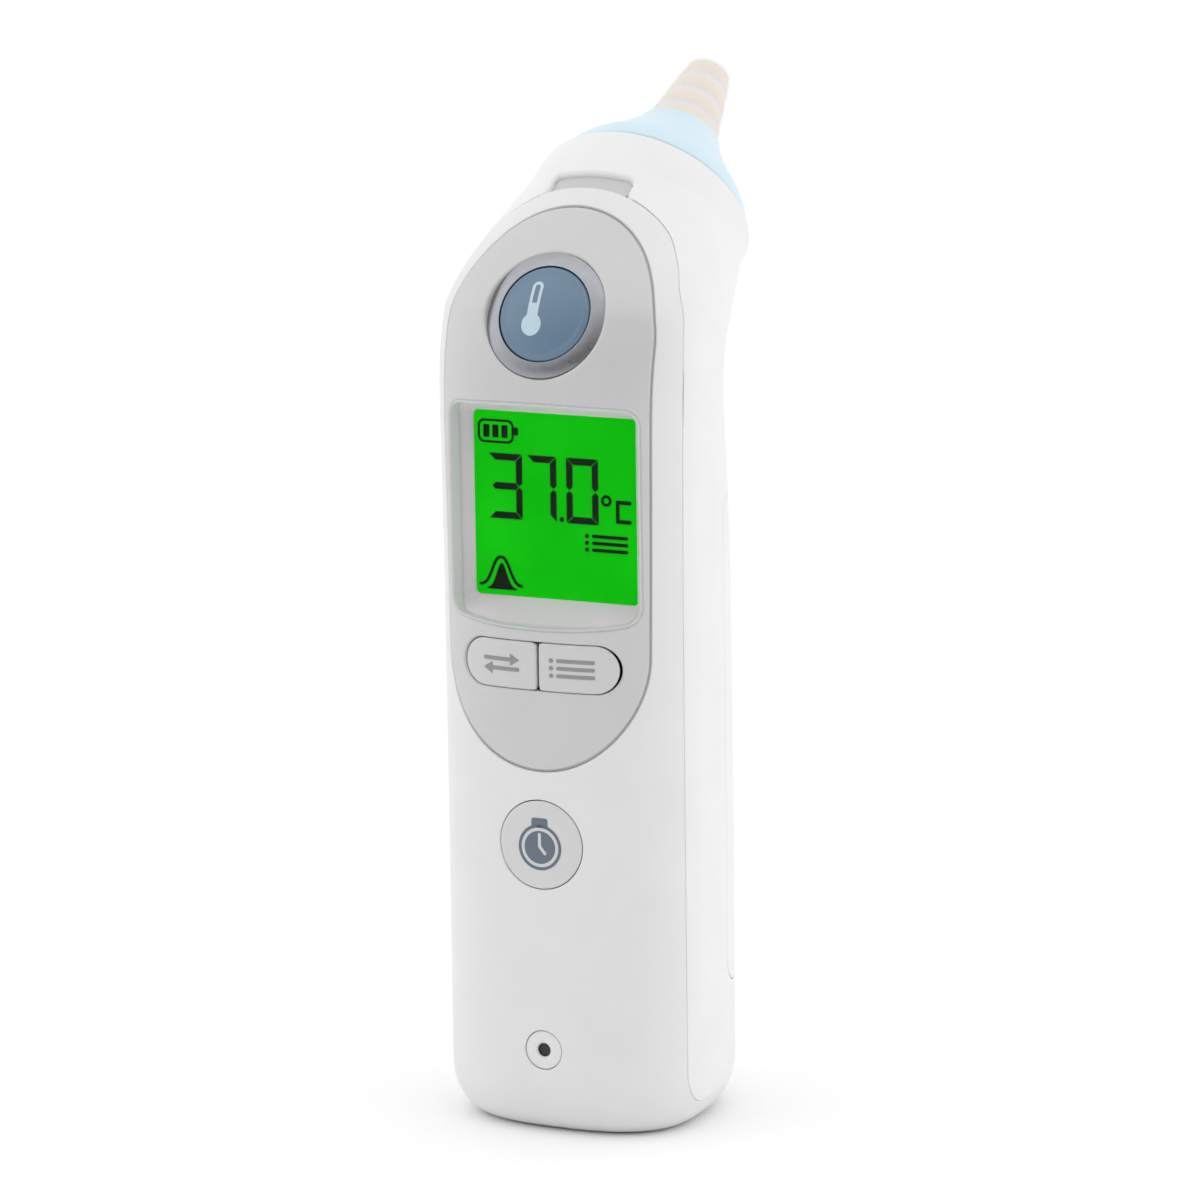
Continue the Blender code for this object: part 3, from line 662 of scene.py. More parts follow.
def notch_right():
    """The right half of the status light's notch, from the seam up and over to the middle."""
    half, high, r = NOTCH_HALF + NOTCH_RIM, NOTCH_HIGH + NOTCH_RIM, NOTCH_CORNER
    line = [(half, -3)] + arc(half - r, high - r, r, r, 0, 90, 10) + [(0, high)]
    notch = on_frame(LIGHT, line, 0.35, closed=False)
    return notch[seam_gap(surface(*notch.T), JOINT + SEAM_RIM) > 0.1]


def mouth_s(phi, short):
    """s where the head ends, short of the plane of its mouth."""
    def past(s):
        return (surface(phi, s) - np.array(COLLAR)) @ np.array(AXIS) + short

    return root(past, 138.0, STATION_S[-1], len(phi))


def rear_outline():
    """The rear housing's outline: up the right side, over the notch, round the mouth and down."""
    low, side, arch = seam_right(JOINT + SEAM_RIM)
    notch = notch_right()
    arch = arch[surface(*arch.T)[:, 0] > surface(*notch[0])[0] + 0.2]
    right = np.concatenate((low, side[1:], evened(arch)[1:], notch))
    left = mirrored(right) + (2 * pi, 0)
    round_phi = np.linspace(FRONT, FRONT + 2 * pi, 240)
    mouth = np.stack((round_phi, mouth_s(round_phi, MOUTH_RIM)), -1)
    up = evened(np.array((right[-1], mouth[0])))
    down = up[::-1] + (2 * pi, 0)
    return np.concatenate((right[:-1], up[:-1], mouth[:-1], down[:-1], left[:-1]))


def door_outline(grow):
    """The battery door's outline, seen from the side, wrapped round the back."""
    front, low, high, r = DOOR_Y - grow, DOOR_LOW - grow, DOOR_HIGH + grow, DOOR_CORNER
    line = (arc(front + r, low + r, r, r, 270, 180, 16)
            + arc(front + r, high - r, r, r, 180, 90, 16))
    right = on_side(even(line, closed=False))
    left = np.stack((pi - right[:, 0], right[:, 1]), -1)[::-1]
    edges = []
    for z, start, end in ((high, right[-1, 0], left[0, 0]), (low, left[-1, 0], right[0, 0])):
        phi = np.linspace(start, end, int(abs(end - start) * ROUND / 0.5))[1:-1]
        s = root(lambda s: surface(phi, s)[:, 2] - z, z - 6.0, z + 8.0, len(phi))
        edges.append(np.stack((phi, s), -1))
    return np.concatenate((right, edges[0], left, edges[1]))[::-1]


def rear_rims(place):
    """The seam's fine rim, the notch's soft one, and the mouth's round edge."""
    from_mouth = (place - np.array(COLLAR)) @ np.array(AXIS)
    if from_mouth.min() > -3:
        return round_rim(MOUTH_RIM, MOUTH_RIM, WALL)
    notch = np.clip((NOTCH_HALF + 1.2 - np.abs(place[:, 0])) / 0.6, 0, 1) * (place[:, 2] > 134.5)
    width = SEAM_RIM + (NOTCH_RIM - SEAM_RIM) * notch
    return round_rim(width, width, WALL)


def panel_rims(place):
    """A wide soft edge outside and round the ring, and narrower ones at the window and keys."""
    middle = place.mean(0)[2]
    if np.ptp(place[:, 2]) > 60:
        return drawn_rim(PANEL_LINE, PANEL_THICK)
    if middle > WINDOW_HIGH:
        return round_rim(RING_RIM, 0.35, PANEL_THICK, 8)
    if middle > WINDOW_LOW:
        return drawn_rim(WINDOW_LINE, PANEL_THICK)
    return round_rim(PILL_RIM, 0.4, PANEL_THICK, 6)


# ------------------------------ materials

def fill(ramp, stops):
    """Sets a colour ramp's (position, colour or grey) stops."""
    for k, (position, colour) in enumerate(stops):
        stop = ramp.elements[k] if k < 2 else ramp.elements.new(position)
        stop.position = position
        stop.color = (*colour, 1) if isinstance(colour, tuple) else (colour,) * 3 + (1,)


class Nodes:
    """A material's node tree, with short calls for the nodes used here."""

    def __init__(self, name):
        self.material = bpy.data.materials.new(name)
        self.material.use_nodes = True
        self.tree = self.material.node_tree
        self.shader = self.tree.nodes["Principled BSDF"]
        self.place = self.new("ShaderNodeTexCoord").outputs["Object"]

    def new(self, kind):
        return self.tree.nodes.new(kind)

    def link(self, source, socket):
        self.tree.links.new(source, socket)

    def noise(self, size, detail=3.0):
        """Noise with features of about size millimetres."""
        mapping = self.new("ShaderNodeMapping")
        mapping.inputs["Scale"].default_value = [1 / (size * MM)] * 3
        self.link(self.place, mapping.inputs["Vector"])
        made = self.new("ShaderNodeTexNoise")
        made.inputs["Scale"].default_value = 1.0
        made.inputs["Detail"].default_value = detail
        self.link(mapping.outputs["Vector"], made.inputs["Vector"])
        return made.outputs["Fac"]

    def ramped(self, socket, source, *stops):
        """Feeds a shader socket with a colour ramp."""
        made = self.new("ShaderNodeValToRGB")
        fill(made.color_ramp, stops)
        self.link(source, made.inputs["Fac"])
        self.link(made.outputs["Color"], self.shader.inputs[socket])

    def mottled(self, socket, size, low, high, detail=3.0):
        """Feeds a shader socket with noise between two colours or greys."""
        self.ramped(socket, self.noise(size, detail), (0.3, low), (0.7, high))

    def bump(self, size, depth):
        made = self.new("ShaderNodeBump")
        made.inputs["Strength"].default_value = 1.0
        made.inputs["Distance"].default_value = depth * MM
        self.link(self.noise(size, 2), made.inputs["Height"])
        self.link(made.outputs["Normal"], self.shader.inputs["Normal"])

    def set(self, **values):
        for key, value in values.items():
            self.shader.inputs[key.replace("_", " ")].default_value = value


def plastic(name, colour, roughness, mottle=0.015, **values):
    """Moulded plastic: faint mottling, a fine spark-eroded grain and uneven gloss."""
    n = Nodes(name)
    darker = tuple(c * (1 - mottle) for c in colour)
    lighter = tuple(min(1, c * (1 + mottle)) for c in colour)
    n.mottled("Base Color", 9.0, darker, lighter)
    n.mottled("Roughness", 2.5, roughness - 0.04, roughness + 0.04, 5)
    n.bump(0.25, 0.006)
    n.set(**values)
    return n.material


def ringed_nose(name):
    """Beige, with a fine lilac line at the foot of each groove round the probe."""
    n = Nodes(name)
    along = n.new("ShaderNodeMapping")
    along.inputs["Scale"].default_value = [1 / (NOSE_LONG * MM)] * 3
    along.inputs["Rotation"].default_value[0] = radians(PROBE_TILT)
    along.inputs["Location"].default_value[2] = -COLLAR.dot(AXIS) / NOSE_LONG
    n.link(n.place, along.inputs["Vector"])
    height = n.new("ShaderNodeSeparateXYZ")
    n.link(along.outputs["Vector"], height.inputs["Vector"])
    stops = [(0.0, NOSE_BEIGE)]
    band = ((-0.9, NOSE_BEIGE), (-0.2, NOSE_LILAC), (0.2, NOSE_LILAC), (0.9, NOSE_BEIGE))
    for z in NOSE_GROOVES[::-1]:
        stops += [((z + far) / NOSE_LONG, tone) for far, tone in band]
    n.ramped("Base Color", height.outputs["Z"], *stops)
    n.mottled("Roughness", 2.5, 0.41, 0.49, 5)
    n.bump(0.25, 0.006)
    return n.material


def metal(name, colour, roughness=0.28):
    """Satin metal with uneven gloss."""
    n = Nodes(name)
    n.mottled("Base Color", 1.5, tuple(c * 0.93 for c in colour), colour)
    n.mottled("Roughness", 0.8, roughness - 0.06, roughness + 0.06, 4)
    n.bump(0.3, 0.002)
    n.set(Metallic=1.0)
    return n.material


def lit_display(name):
    """The display's back-lit green, a little uneven."""
    n = Nodes(name)
    n.mottled("Emission Color", 11.0, (0.001, 0.455, 0.001), (0.003, 0.535, 0.002), 1)
    n.mottled("Base Color", 11.0, (0.001, 0.02, 0.001), (0.002, 0.03, 0.002), 1)
    n.mottled("Roughness", 3.0, 0.3, 0.36)
    n.set(Emission_Strength=1.0, Specular_IOR_Level=0.0)
    return n.material


def clear_pane(name):
    """A clear window: almost nothing but its gloss."""
    n = Nodes(name)
    n.mottled("Base Color", 8.0, 0.3, 0.34)
    n.mottled("Roughness", 4.0, 0.03, 0.07)
    n.set(Alpha=0.006)
    return n.material


WHITE = plastic("white_shell", (0.775, 0.775, 0.78), 0.42)
# The rear shell and the door: the front shell's white plastic painted lighter, standing in for the
# extra light on the sides, back and head.
REAR_WHITE_PAINTED_LIGHTER = plastic("white_rear_shell_painted_lighter", (0.825, 0.825, 0.83), 0.42)
WHITE_INSIDE = plastic("white_inside", (0.72, 0.72, 0.72), 0.55)
PANEL = plastic("grey_panel", (0.585, 0.585, 0.59), 0.36, Specular_IOR_Level=0.9)
KEYS = plastic("grey_keys", (0.61, 0.61, 0.615), 0.4, Specular_IOR_Level=0.8)
FRAME_GREY = plastic("display_surround", (0.70, 0.64, 0.69), 0.5)
TIMER_KEY = plastic("timer_grey", (0.665, 0.665, 0.67), 0.45)
BLUE = plastic("blue_key", (0.112, 0.193, 0.29), 0.36, 0.03, Specular_IOR_Level=0.8)
ICON_BLUE = plastic("icon_pale_blue", (0.52, 0.66, 0.74), 0.5)
ICON_GREY = plastic("icon_slate", (0.13, 0.16, 0.21), 0.5)
PRINT_GREY = plastic("print_grey", (0.27, 0.28, 0.29), 0.5)
RING_METAL = metal("ring_satin_metal", (0.36, 0.37, 0.39), 0.32)
GREEN = lit_display("display_green")
INK = plastic("display_ink", (0.004, 0.010, 0.004), 0.6, Specular_IOR_Level=0.1)
CLEAR = clear_pane("clear_window")
LAMP = plastic("status_lens", (0.58, 0.58, 0.585), 0.35)
COVER = plastic("cover_pale_blue", (0.62, 0.78, 0.865), 0.32, 0.008)
COVER_TIP = plastic("cover_clear_tip", (0.62, 0.76, 0.92), 0.25, Alpha=0.08)
BEIGE = ringed_nose("probe_beige")
BLACK = plastic("black_plastic", (0.015, 0.015, 0.016), 0.5)
DARK = plastic("inner_dark_plastic", (0.05, 0.05, 0.055), 0.55)
BOARD = plastic("board_green", (0.01, 0.10, 0.045), 0.35)
STEEL = metal("spring_steel", (0.60, 0.60, 0.61))
GOLD = metal("gold_plate", (0.83, 0.60, 0.24), 0.22)
NATURAL = plastic("natural_plastic", (0.70, 0.70, 0.68), 0.5)
AMBER = plastic("plunger_amber", (0.45, 0.20, 0.03), 0.45)
RUBBER = plastic("strip_rubber", (0.60, 0.30, 0.30), 0.7)
JACKET = plastic("cell_jacket", (0.02, 0.03, 0.04), 0.3)
COPPER = plastic("cell_copper", (0.55, 0.25, 0.10), 0.3, Metallic=0.8)


# ------------------------------ shells, panel and key caps

def make_shells():
    grow = JOINT + HOLE_RIM
    timer_hole = on_frame(facing(TIMER_Z), circle(TIMER_R + TIMER_SLACK + grow))
    release_hole = on_frame(facing(RELEASE_Z), circle(RELEASE_R + grow))
    panel_hole = grown(on_front(egg()), PANEL_EDGE + JOINT + HOLE_RIM)
    front = skin([front_outline(), panel_hole, timer_hole, release_hole])
    show("front_shell", front, WHITE, "root", "shell_white", "front_housing")
    slot = under_head(rounded(*STALK_SLOT), 0.4)
    rear = skin([rear_outline(), door_outline(JOINT / 2 + SEAM_RIM), slot], rim=rear_rims)
    show("rear_shell", rear, REAR_WHITE_PAINTED_LIGHTER, "root", "shell_white", "rear_housing")
    door = skin([door_outline(-JOINT / 2 - SEAM_RIM)], rim=round_rim(SEAM_RIM, SEAM_RIM, WALL))
    show("door_shell", door, REAR_WHITE_PAINTED_LIGHTER, "door", "shell_white", "battery_door")
    catch = slab([rounded(-2.8, 2.8, 17.6, 21, 0.6)], 21.9, 1.5, round_rim(0.2, 0.2, 1.5, 3))
    show("door_catch", catch, WHITE_INSIDE, "door", "shell_white")
    half = NOTCH_HALF + 0.2
    outline = on_frame(LIGHT, rounded(-half, half, -1.0, NOTCH_HIGH + 0.2, 1.7), 0.35)
    lens = skin([outline], -0.9, 1.0, round_rim(0.15, 0.1, 1.0))
    show("status_lens", lens, LAMP, "root", "light_guide", "status_light")


def make_panel():
    outline = grown(on_front(egg()), PANEL_EDGE - GROOVE_REACH)
    ring_hole = grown(on_frame(RING, circle(RING_R, steps=90)), 0.05 + RING_RIM)
    window_hole = grown(on_front(window()), WINDOW_LINE[-1][0])
    holes = [ring_hole, window_hole, on_front(pill(JOINT + PILL_RIM))]
    panel = skin([outline] + holes, PANEL_LIFT, PANEL_THICK, panel_rims, 0.9)
    show("panel_shell", panel, PANEL, "root", "panel_grey", "front_panel")
    rim = round_rim(0.1, 0.1, PANE_THICK, 3)
    pane = skin([grown(on_front(window()), -0.2)], PANE_DOWN, PANE_THICK, rim)
    show("window_pane", pane, CLEAR, "root", "window_clear", "display_window")


def make_keys():
    rim = round_rim(KEY_RIM, 0.35, KEY_THICK, 7, KEY_DRAFT)
    for side, name in ((-1, "unit"), (1, "memory")):
        key = skin([on_front(pill_half(side, -KEY_RIM))], 0.12, KEY_THICK, rim, 0.7)
        show(f"{name}_cap", key, KEYS, f"{name}_key", "key_grey", f"{name}_button")
    rim = round_rim(KEY_RIM, 0.3, KEY_THICK, 7, KEY_DRAFT)
    timer = skin([on_frame(facing(TIMER_Z), circle(TIMER_R - KEY_RIM))], 0.1, KEY_THICK, rim)
    show("timer_cap", timer, TIMER_KEY, "timer_key", "key_grey", "timer_button")


# ------------------------------ the display

def make_surround():
    """The sloping surround between the window's edge and the display."""
    far = even(rounded(LCD_LEFT, LCD_RIGHT, LCD_LOW, LCD_HIGH, 0.8), 0.5)
    middle = np.array(((LCD_LEFT + LCD_RIGHT) / 2, (LCD_LOW + LCD_HIGH) / 2))
    angles = np.unwrap(np.arctan2(*(far - middle).T[::-1]))
    near = even(window(), 0.1)
    near_angles = np.arctan2(*(near - middle).T[::-1])
    order = np.argsort(near_angles)
    near_x, near_z = (np.interp(angles, near_angles[order], near[order, k], period=2 * pi)
                      for k in (0, 1))
    top = surface(*land(np.stack((near_x, np.zeros(len(far)), near_z), -1), (0, 1, 0)).T)
    sections = []
    for (x, z), (px, py, pz) in zip(far, top):
        front, back = py + 1.2, LCD_Y - 0.3
        out = np.array((px - x, pz - z))
        out /= max(1e-6, np.linalg.norm(out))
        sections.append(np.array((
            (px, front, pz), (px - 0.35 * out[0], front + 0.12, pz - 0.35 * out[1]),
            (x + 0.25 * out[0], back - 0.45, z + 0.25 * out[1]),
            (x, back - 0.2, z), (x, back, z), (px, back, pz))))
    show("display_surround", ring_loft(sections), FRAME_GREY, "root", "panel_grey",
         "display_frame")


def seven(x0, x1, z0, z1, which, w=0.98, g=0.08):
    """The lit bars of a seven-bar digit, as outlines of width w with ends g apart: t top,
    m middle, b bottom, and l or r with u or d."""
    mid, half = (z0 + z1) / 2, w / 2
    left, right = x0 + w + g, x1 - w - g
    bars = {
        "t": [(x0 + g, z1), (x1 - g, z1), (right, z1 - w), (left, z1 - w)],
        "b": [(x0 + g, z0), (left, z0 + w), (right, z0 + w), (x1 - g, z0)],
        "m": [(x0 + half + g, mid), (left, mid + half), (right, mid + half),
              (x1 - half - g, mid), (right, mid - half), (left, mid - half)],
        "lu": [(x0, z1 - g), (x0 + w, z1 - w - g), (x0 + w, mid + half + g),
               (x0 + half, mid + g), (x0, mid + half)],
    }
    bars["ru"] = [(x0 + x1 - x, z) for x, z in bars["lu"]]
    bars["ld"] = [(x, z0 + z1 - z) for x, z in bars["lu"]]
    bars["rd"] = [(x0 + x1 - x, z0 + z1 - z) for x, z in bars["lu"]]
    return [[bars[bar]] for bar in which.split()]


def printed(groups):
    """Flat print in one frame's X and Y. Each group is an outline followed by its holes."""
    rim = round_rim(0.02, 0.02, 0.1, 2)
    return joined([slab([even(loop, 0.3) for loop in group], 0.05, 0.1, rim, 0.6)
                   for group in groups])


def printed_on(groups, lift, placed):
    """Print on a key's face, where placed puts each outline on the surface."""
    rim = round_rim(0.02, 0.02, PRINT_THICK, 2)
    return joined([skin([placed(loop) for loop in group], lift, PRINT_THICK, rim, 0.5)
                   for group in groups])


def list_icon(x, z, pitch, wide):
    """Three short rows, each a dot and a line, as outlines."""
    left, right = x - wide / 2, x + wide / 2
    rows = []
    for level in (z + pitch, z, z - pitch):
        rows += [[circle(0.32, left + 0.3, level, 16)],
                 [stroke([(left + 1.35, level), (right, level)], 0.5)]]
    return rows


def reading():
    """A temperature with a unit mark: digits, point, degree ring and corner."""
    rows = 89.55, 99.05
    digits = (seven(-10.65, -5.3, *rows, "t m b ru rd") + seven(-4.5, 0.15, *rows, "t ru rd")
              + seven(1.75, 6.8, *rows, "t b lu ld ru rd"))
    corner = stroke([(11.75, 93.07), (9.85, 93.07), (9.85, 90.28), (11.75, 90.28)], 0.56)
    degree = [circle(0.84, 8.05, 93.19, 32), circle(0.42, 8.05, 93.19, 24)]
    return digits + [[circle(0.36, 0.95, 90.0, 24)], degree, [corner]]


def signs():
    """The display's small signs: a battery, a bell-shaped sleep sign and a list."""
    battery = [[rounded(-12.3, -6.55, 100.5, 103.95, 1.0),
                rounded(-11.98, -6.87, 100.82, 103.63, 0.75)],
               [rounded(-6.5, -5.85, 101.75, 102.95, 0.25)]]
    battery += [[rounded(x, x + 0.95, 101.3, 103.15, 0.08)] for x in (-11.4, -9.95, -8.5)]
    across = np.linspace(-3.3, 3.3, 40)
    hill = [(x - 8.9, 79.75 + 4.1 * np.exp(-(abs(x) / 1.75) ** 2.6)) for x in across]
    mound = [(x * 0.72 - 8.8, 79.3 + 3.7 * np.exp(-(abs(x) / 1.55) ** 2.0)) for x in across]
    mound += [(mound[-1][0], 79.1), (mound[0][0], 79.1)]
    return battery + list_icon(7.9, 86.9, 1.0, 6.6) + [[stroke(hill, 0.42)], [mound]]


def make_display():
    make_surround()
    place = facing(0, LCD_Y)
    rim = round_rim(0.1, 0.1, 1.5, 3)
    plate = slab([rounded(-13.6, 13.8, 77.2, 106.6, 0.5)], 0.0, 1.5, rim, 2.5)
    show("display_plate", plate, GREEN, "root", "lcd_green", "lcd_glass", place=place)
    show("display_reading", printed(reading()), INK, "root", "lcd_green", place=place)
    show("display_signs", printed(signs()), INK, "root", "lcd_green", place=place)


# ------------------------------ round keys, and the icons

def dome(x, y):
    """The height of the measuring button over its ring's plane."""
    return DOME_EDGE + (DOME_TOP - DOME_EDGE) * (1 - (x * x + y * y) / DOME_R ** 2)


def make_measure():
    slope = [(RING_R, -3.4), (RING_R, -0.25), (9.24, -0.08), (9.1, 0.0), (7.3, 0.62),
             (7.16, 0.62), (7.1, 0.5), (7.1, -3.4)]
    show("measure_bezel", turned(slope, 128), RING_METAL, "root", "ring_metallic",
         "measure_ring", place=RING)
    cap = [(r, dome(r, 0)) for r in np.linspace(0, DOME_R, 16)]
    r = MEASURE_R - DOME_R
    cap += [(DOME_R + r * sin(a), DOME_EDGE + 0.1 - r * (1 - cos(a)))
            for a in np.linspace(0.33, pi / 2, 9)]
    cap += [(MEASURE_R, -2.0), (2.0, -2.0), (2.0, -3.6), (0, -3.6)]
    show("measure_cap", turned(cap, 128), BLUE, "measure_key", "measure_blue",
         "measure_button", place=RING)
    x, top, bulb, tube, bore = -1.25, 4.5, -1.95, 0.85, 0.42
    outer = arc(x, top - tube, tube, tube, 0, 180, 16) + arc(x, bulb, 1.55, 1.6, 123, 417, 40)
    hole = arc(x, top - tube, bore, bore, 0, 180, 12) + [(x - bore, 1.2), (x + bore, 1.2)]
    icon = slab([even(outer, 0.25), even(hole, 0.2)], lambda a, b: dome(a, b) + 0.05, 0.15,
                round_rim(0.03, 0.03, 0.15, 2), 0.45)
    show("measure_icon", icon, ICON_BLUE, "measure_key", "measure_blue", place=RING)


def make_icons():
    half, high, r = 1.25, 3.9, 0.35
    crown = ([(half, 2.9), (half, high)] + arc(half - r, high + 0.05, r, r, 0, 90, 6)
             + arc(r - half, high + 0.05, r, r, 90, 180, 6) + [(-half, high), (-half, 2.9)])
    hands = stroke([(-0.05, 1.9), (-0.05, 0.15), (0.78, -0.85)], 0.55)
    clock = [[crown], [circle(3.35), circle(2.95)], [circle(2.4), hands]]
    at = facing(TIMER_Z - 0.33)
    icon = printed_on(clock, 0.14, lambda loop: on_frame(at, loop, 0.2))
    show("timer_icon", icon, ICON_GREY, "timer_key", "key_grey")
    swap = []
    for way, z in ((1, PILL_Z + 0.7), (-1, PILL_Z - 0.7)):
        arrow = [(-2.9, z - 0.25), (1.5, z - 0.25), (1.5, z - 0.85), (2.9, z), (1.5, z + 0.85),
                 (1.5, z + 0.25), (-2.9, z + 0.25)]
        swap.append([[(-5.8 + way * x, z) for x, z in arrow][::way]])
    for name, groups in (("unit", swap), ("memory", list_icon(5.2, PILL_Z, 1.1, 6.6))):
        icon = printed_on(groups, 0.16, lambda loop: on_front(loop, 0.2))
        show(f"{name}_icon", icon, PRINT_GREY, f"{name}_key", "key_grey")


def make_release():
    place = facing(RELEASE_Z)
    r = RELEASE_R
    face = [(1.02, -1.6), (1.02, -0.35), (1.2, -0.12), (1.5, -0.06), (r - 0.4, -0.1),
            (r - 0.12, -0.2), (r, -0.42), (r, -2.6), (1.3, -2.6), (1.3, -12.6), (0.6, -12.6),
            (0.6, -1.6)]
    show("release_cap", turned(face, 72), WHITE, "release_key", "shell_white", "release_button",
         place=place)
    # The tool hole's dark dot: a dark cup in the hole, painted shade standing in for the shadow
    # inside it.
    cup = [(0, -1.0), (0.55, -0.98), (0.85, -0.8), (0.98, -0.45), (1.0, -1.5), (0, -1.5)]
    show("release_hole_painted_shade", turned(cup, 48), DARK, "release_key", "black_plastic", place=place)


# ------------------------------ the head's pieces

def make_cover():
    line = flow([(15.05, 0.3), (15.45, 0.75), (15.2, 1.5), (14.4, 3.2), (12.9, 5.4),
                 (11.0, 7.6), (9.2, 10.2), (7.6, 12.6), (6.5, 14.8)], 6)
    inner = [(r - 0.55, z - 0.25) for r, z in line[::-1]]
    show("cover_skirt", turned(line.tolist() + inner, 128), COVER, "cover", "cover_blue",
         "probe_cover", place=PROBE)
    line = flow([(6.5, 14.85), (6.2, 16.2), (5.55, 19.5), (4.85, 23.5), (4.25, 27.0),
                 (3.95, 28.4), (3.6, 29.1), (2.9, 29.45), (1.4, 29.55), (0.0, 29.56)], 5)
    inner = [(max(r - 0.3, 0.0), z - 0.12) for r, z in line[:-1][::-1]]
    tip = line.tolist() + [(0, 29.4)] + inner[1:] + [(6.2, 14.8)]
    show("cover_tip", turned(tip, 96), COVER_TIP, "cover", "cover_blue", place=PROBE)


def make_nose():
    nose = [(2.0, 28.6), (3.0, 28.75), (3.35, 28.4), (3.5, 27.5)]
    for z, r in zip(NOSE_GROOVES, NOSE_RADII):
        nose += [(r - 0.05, z + 0.6), (r - 0.13, z + 0.3), (r - 0.08, z - 0.3), (r + 0.1, z - 0.6)]
    nose += [(5.75, 14.9), (6.7, 12.0), (8.0, 9.0), (8.0, 0.0), (12.0, 0.0), (12.0, -1.8),
             (6.0, -1.8), (3.0, 9.0), (2.2, 12.0), (2.0, 28.4)]
    show("nose_tip", turned(nose, 96), BEIGE, "root", "nose_beige", "probe_nose", place=PROBE)


def make_ejector():
    """The thumb pad under the head, with ribs across it and raised ends."""
    def ribbed(phi, s):
        height = (surface(phi, s) - np.array(COLLAR)) @ np.array(AXIS)
        along = (height - PAD_LOW) / PAD_LONG
        wave = np.cos(along * 10 * pi) * np.clip(np.minimum(along, 1 - along) * 6, 0, 1)
        return 2.75 + 0.16 * wave + 0.25 * np.abs(2 * along - 1) ** 2

    pad = skin([under_head(rounded(*PAD))], ribbed, 0.8, round_rim(0.45, 0.45, 0.8), 0.35)
    show("ejector_pad", pad, KEYS, "ejector", "key_grey", "ejector_button")


# ------------------------------ the battery room

def helix(name, radius, wire, low, high, turns, look, place, body, *replaced):
    """A wound wire spring along a frame's Z."""
    curve = bpy.data.curves.new(name, "CURVE")
    curve.dimensions, curve.use_fill_caps = "3D", True
    curve.bevel_depth, curve.bevel_resolution = wire * MM, 3
    path = curve.splines.new("POLY")
    count = 28 * turns
    path.points.add(count)
    for k, point in enumerate(path.points):
        angle = 2 * pi * k / 28
        level = low + wire + (high - low - 2 * wire) * k / count
        point.co = (radius * cos(angle) * MM, radius * sin(angle) * MM, level * MM, 1)
    show(name, curve, look, body, "steel", *replaced, place=place)


def make_cells():
    """Two AA cells side by side, one of them upside down, with their springs and plates."""
    x, y, r, low, long = 7.4, 10.6, 7.1, 29.5, 50.0
    split, inner = long - 15, r - 0.7
    sleeve = [(inner, 0.15), (r - 0.15, 0.2), (r, 0.45), (r, split), (inner, split)]
    collar = [(inner, long - 14.9), (r, long - 14.9), (r, long - 1.9), (r - 0.15, long - 1.6),
              (inner, long - 1.5)]
    can = [(0, long), (2.3, long), (2.6, long - 0.2), (2.65, long - 1.1), (6.2, long - 1.35),
           (6.4, long - 1.6), (6.4, 0.3), (6.0, 0.0), (4.5, 0.0), (4.2, 0.12), (0, 0.12)]
    for side, tag in ((-1, "left"), (1, "right")):
        up = side > 0
        place = axis_frame((side * x, y, low if up else low + long), (0, 0, side))
        show(f"cell_sleeve_{tag}", turned(sleeve, 72), JACKET, "root", "cell_jacket", place=place)
        show(f"cell_collar_{tag}", turned(collar, 72), COPPER, "root", "cell_jacket", place=place)
        show(f"cell_can_{tag}", turned(can, 72), STEEL, "root", "steel", f"battery_cell_{tag}",
             place=place)
        helix(f"cell_spring_{tag}", 3.2, 0.35, -2.7, -0.3, 2, STEEL, place, "root",
              f"contact_spring_{tag}")
        square = rounded(side * x - 5, side * x + 5, -y - 4.5, -y + 4.5, 0.8)
        plate = flipped(slab([square], 0.0, 0.4, round_rim(0.1, 0.1, 0.4, 3)))
        level = low + long + 0.9 if up else low - 0.4
        show(f"cell_plate_{tag}", plate, STEEL, "root", "steel", f"contact_plate_{tag}",
             place=Matrix.Translation((0, 0, level * MM)))


def dress_nodes():
    """Node-based finishes for the CAD pieces that stay."""
    looks = {
        BLACK: "measure_switch unit_switch memory_switch timer_switch release_guide release_bar "
               "processor buzzer",
        AMBER: "measure_plunger unit_plunger memory_plunger timer_plunger sensor_cable",
        STEEL: "screw_left_low screw_left_high screw_right_low screw_right_high sensor_can "
               "ejector_spring release_spring",
        NATURAL: "lcd_backlight status_led sensor_socket", BOARD: "main_board key_board",
        DARK: "battery_tray", RUBBER: "contact_strip", GOLD: "wave_guide",
        WHITE: "ejector_collar",
    }
    for look, names in looks.items():
        for name in names.split():
            for slot in NODES[name].material_slots:
                slot.material = look


# ------------------------------ stage, light and camera

FLOOR_HALF = 3.0                # in metres
# The tent's dim side: its heading from the front and its drop, and the tent's tone from the
# far side (0) to that side (1). The camera aims at AIM from CAMERA_FAR away.
DIM_WAY, DIM_DROP = radians(18), radians(32)
TENT, TENT_STRENGTH = ((0.0, 0.6), (0.2, 0.75), (0.45, 0.95), (0.93, 0.04)), 1.52
AZIMUTH, ELEVATION, ROLL = radians(25.84), radians(11.25), radians(-0.74)
AIM, CAMERA_FAR, LENS = Vector((3.1, 0, 77.0)), 832.5, 172.66


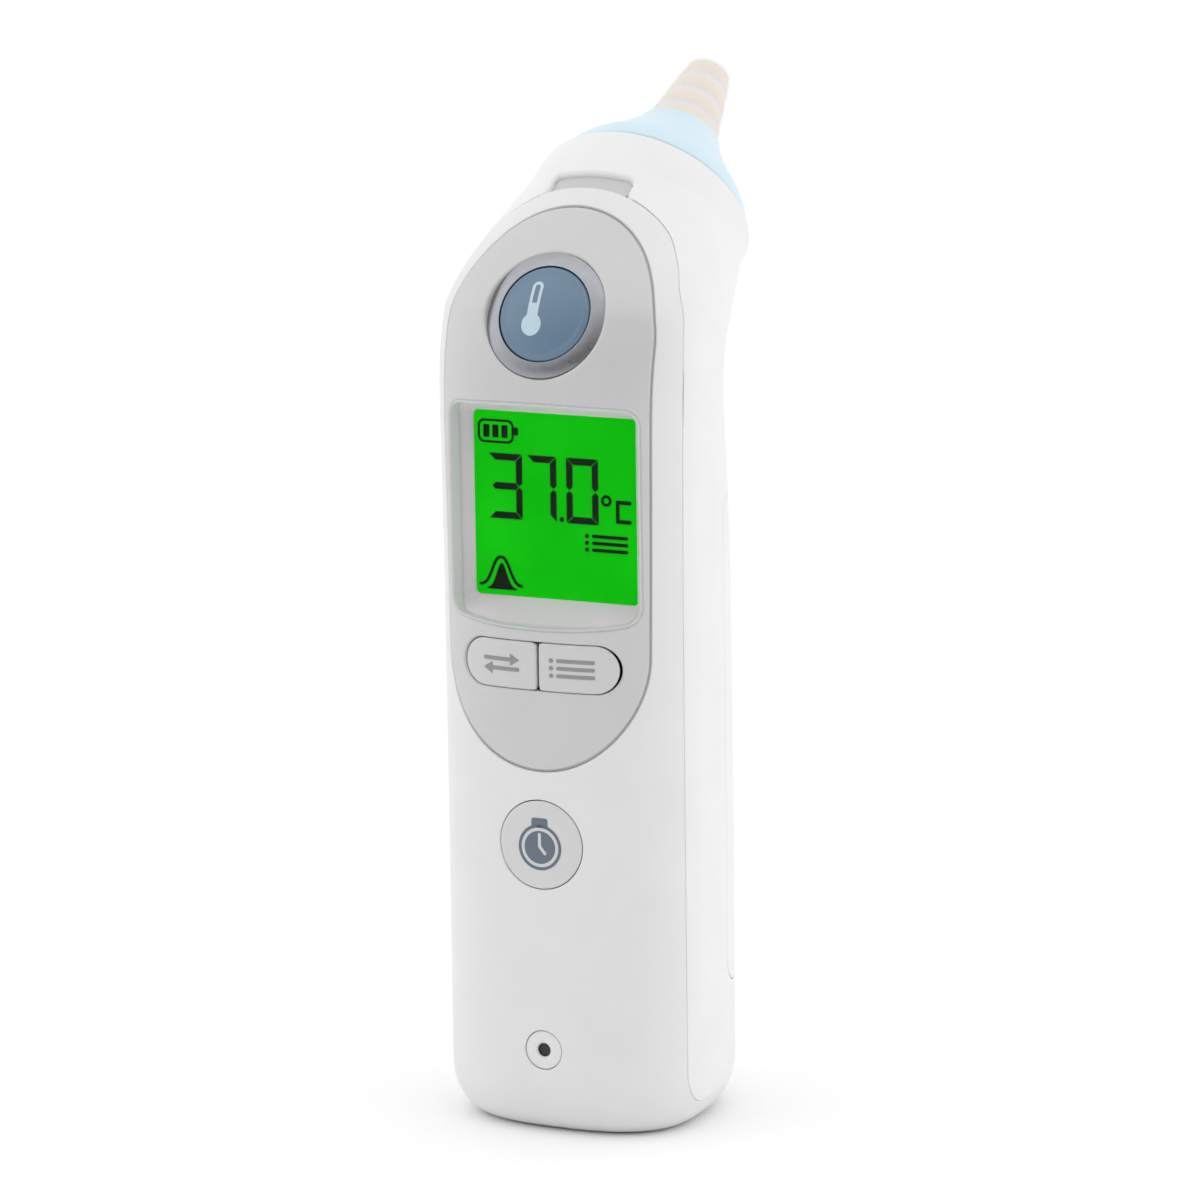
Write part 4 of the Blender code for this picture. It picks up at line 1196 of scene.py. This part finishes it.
def make_stage():
    half = FLOOR_HALF
    mesh = bpy.data.meshes.new("floor")
    mesh.from_pydata([(-half, -half, 0), (half, -half, 0), (half, half, 0), (-half, half, 0)],
                     [], [(0, 1, 2, 3)])
    floor = bpy.data.objects.new("floor", mesh)
    bpy.context.scene.collection.objects.link(floor)
    mesh.materials.append(plastic("floor_white", (0.96, 0.96, 0.96), 0.85, 0.003))
    floor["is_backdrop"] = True


def make_world():
    """A white tent: soft light from above and the sides, dimmer towards the front, and a white
    background."""
    world = bpy.data.worlds.new("studio")
    world.use_nodes = True
    tree = world.node_tree
    link, new = tree.links.new, tree.nodes.new
    base = tree.nodes["Background"]
    toward = new("ShaderNodeVectorMath")
    toward.operation = "DOT_PRODUCT"
    toward.inputs[1].default_value = (sin(DIM_WAY) * cos(DIM_DROP), -cos(DIM_WAY) * cos(DIM_DROP),
                                      -sin(DIM_DROP))
    link(new("ShaderNodeTexCoord").outputs["Generated"], toward.inputs[0])
    share = new("ShaderNodeMapRange")
    share.inputs["From Min"].default_value = -1.0
    link(toward.outputs["Value"], share.inputs["Value"])
    tone = new("ShaderNodeValToRGB")
    tone.color_ramp.interpolation = "EASE"
    fill(tone.color_ramp, TENT)
    link(share.outputs["Result"], tone.inputs["Fac"])
    link(tone.outputs["Color"], base.inputs["Color"])
    base.inputs["Strength"].default_value = TENT_STRENGTH
    seen = new("ShaderNodeBackground")
    seen.inputs["Color"].default_value = (1, 1, 1, 1)
    mix = new("ShaderNodeMixShader")
    link(new("ShaderNodeLightPath").outputs["Is Camera Ray"], mix.inputs["Fac"])
    link(base.outputs["Background"], mix.inputs[1])
    link(seen.outputs["Background"], mix.inputs[2])
    link(mix.outputs["Shader"], tree.nodes["World Output"].inputs["Surface"])
    bpy.context.scene.world = world


def make_camera():
    level = Vector((sin(AZIMUTH), -cos(AZIMUTH), 0))
    back = level * cos(ELEVATION) + Vector((0, 0, sin(ELEVATION)))
    right = Vector((cos(AZIMUTH), sin(AZIMUTH), 0))
    up = back.cross(right)
    across = right * cos(ROLL) + up * sin(ROLL)
    above = up * cos(ROLL) - right * sin(ROLL)
    lens = bpy.data.cameras.new("camera")
    lens.lens, lens.sensor_width, lens.clip_start = LENS, 36.0, 0.01
    camera = bpy.data.objects.new("camera", lens)
    bpy.context.scene.collection.objects.link(camera)
    camera.matrix_world = (Matrix.Translation((AIM + back * CAMERA_FAR) * MM)
                           @ Matrix((across, above, back)).transposed().to_4x4())
    bpy.context.scene.camera = camera


make_shells()
make_panel()
make_keys()
make_display()
make_measure()
make_icons()
make_release()
make_cover()
make_nose()
make_ejector()
make_cells()
dress_nodes()
make_stage()
make_world()
make_camera()
bpy.context.scene.view_settings.view_transform = "Standard"

[[list(corner) for corner in box] for box in (CAD_BOX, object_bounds())]
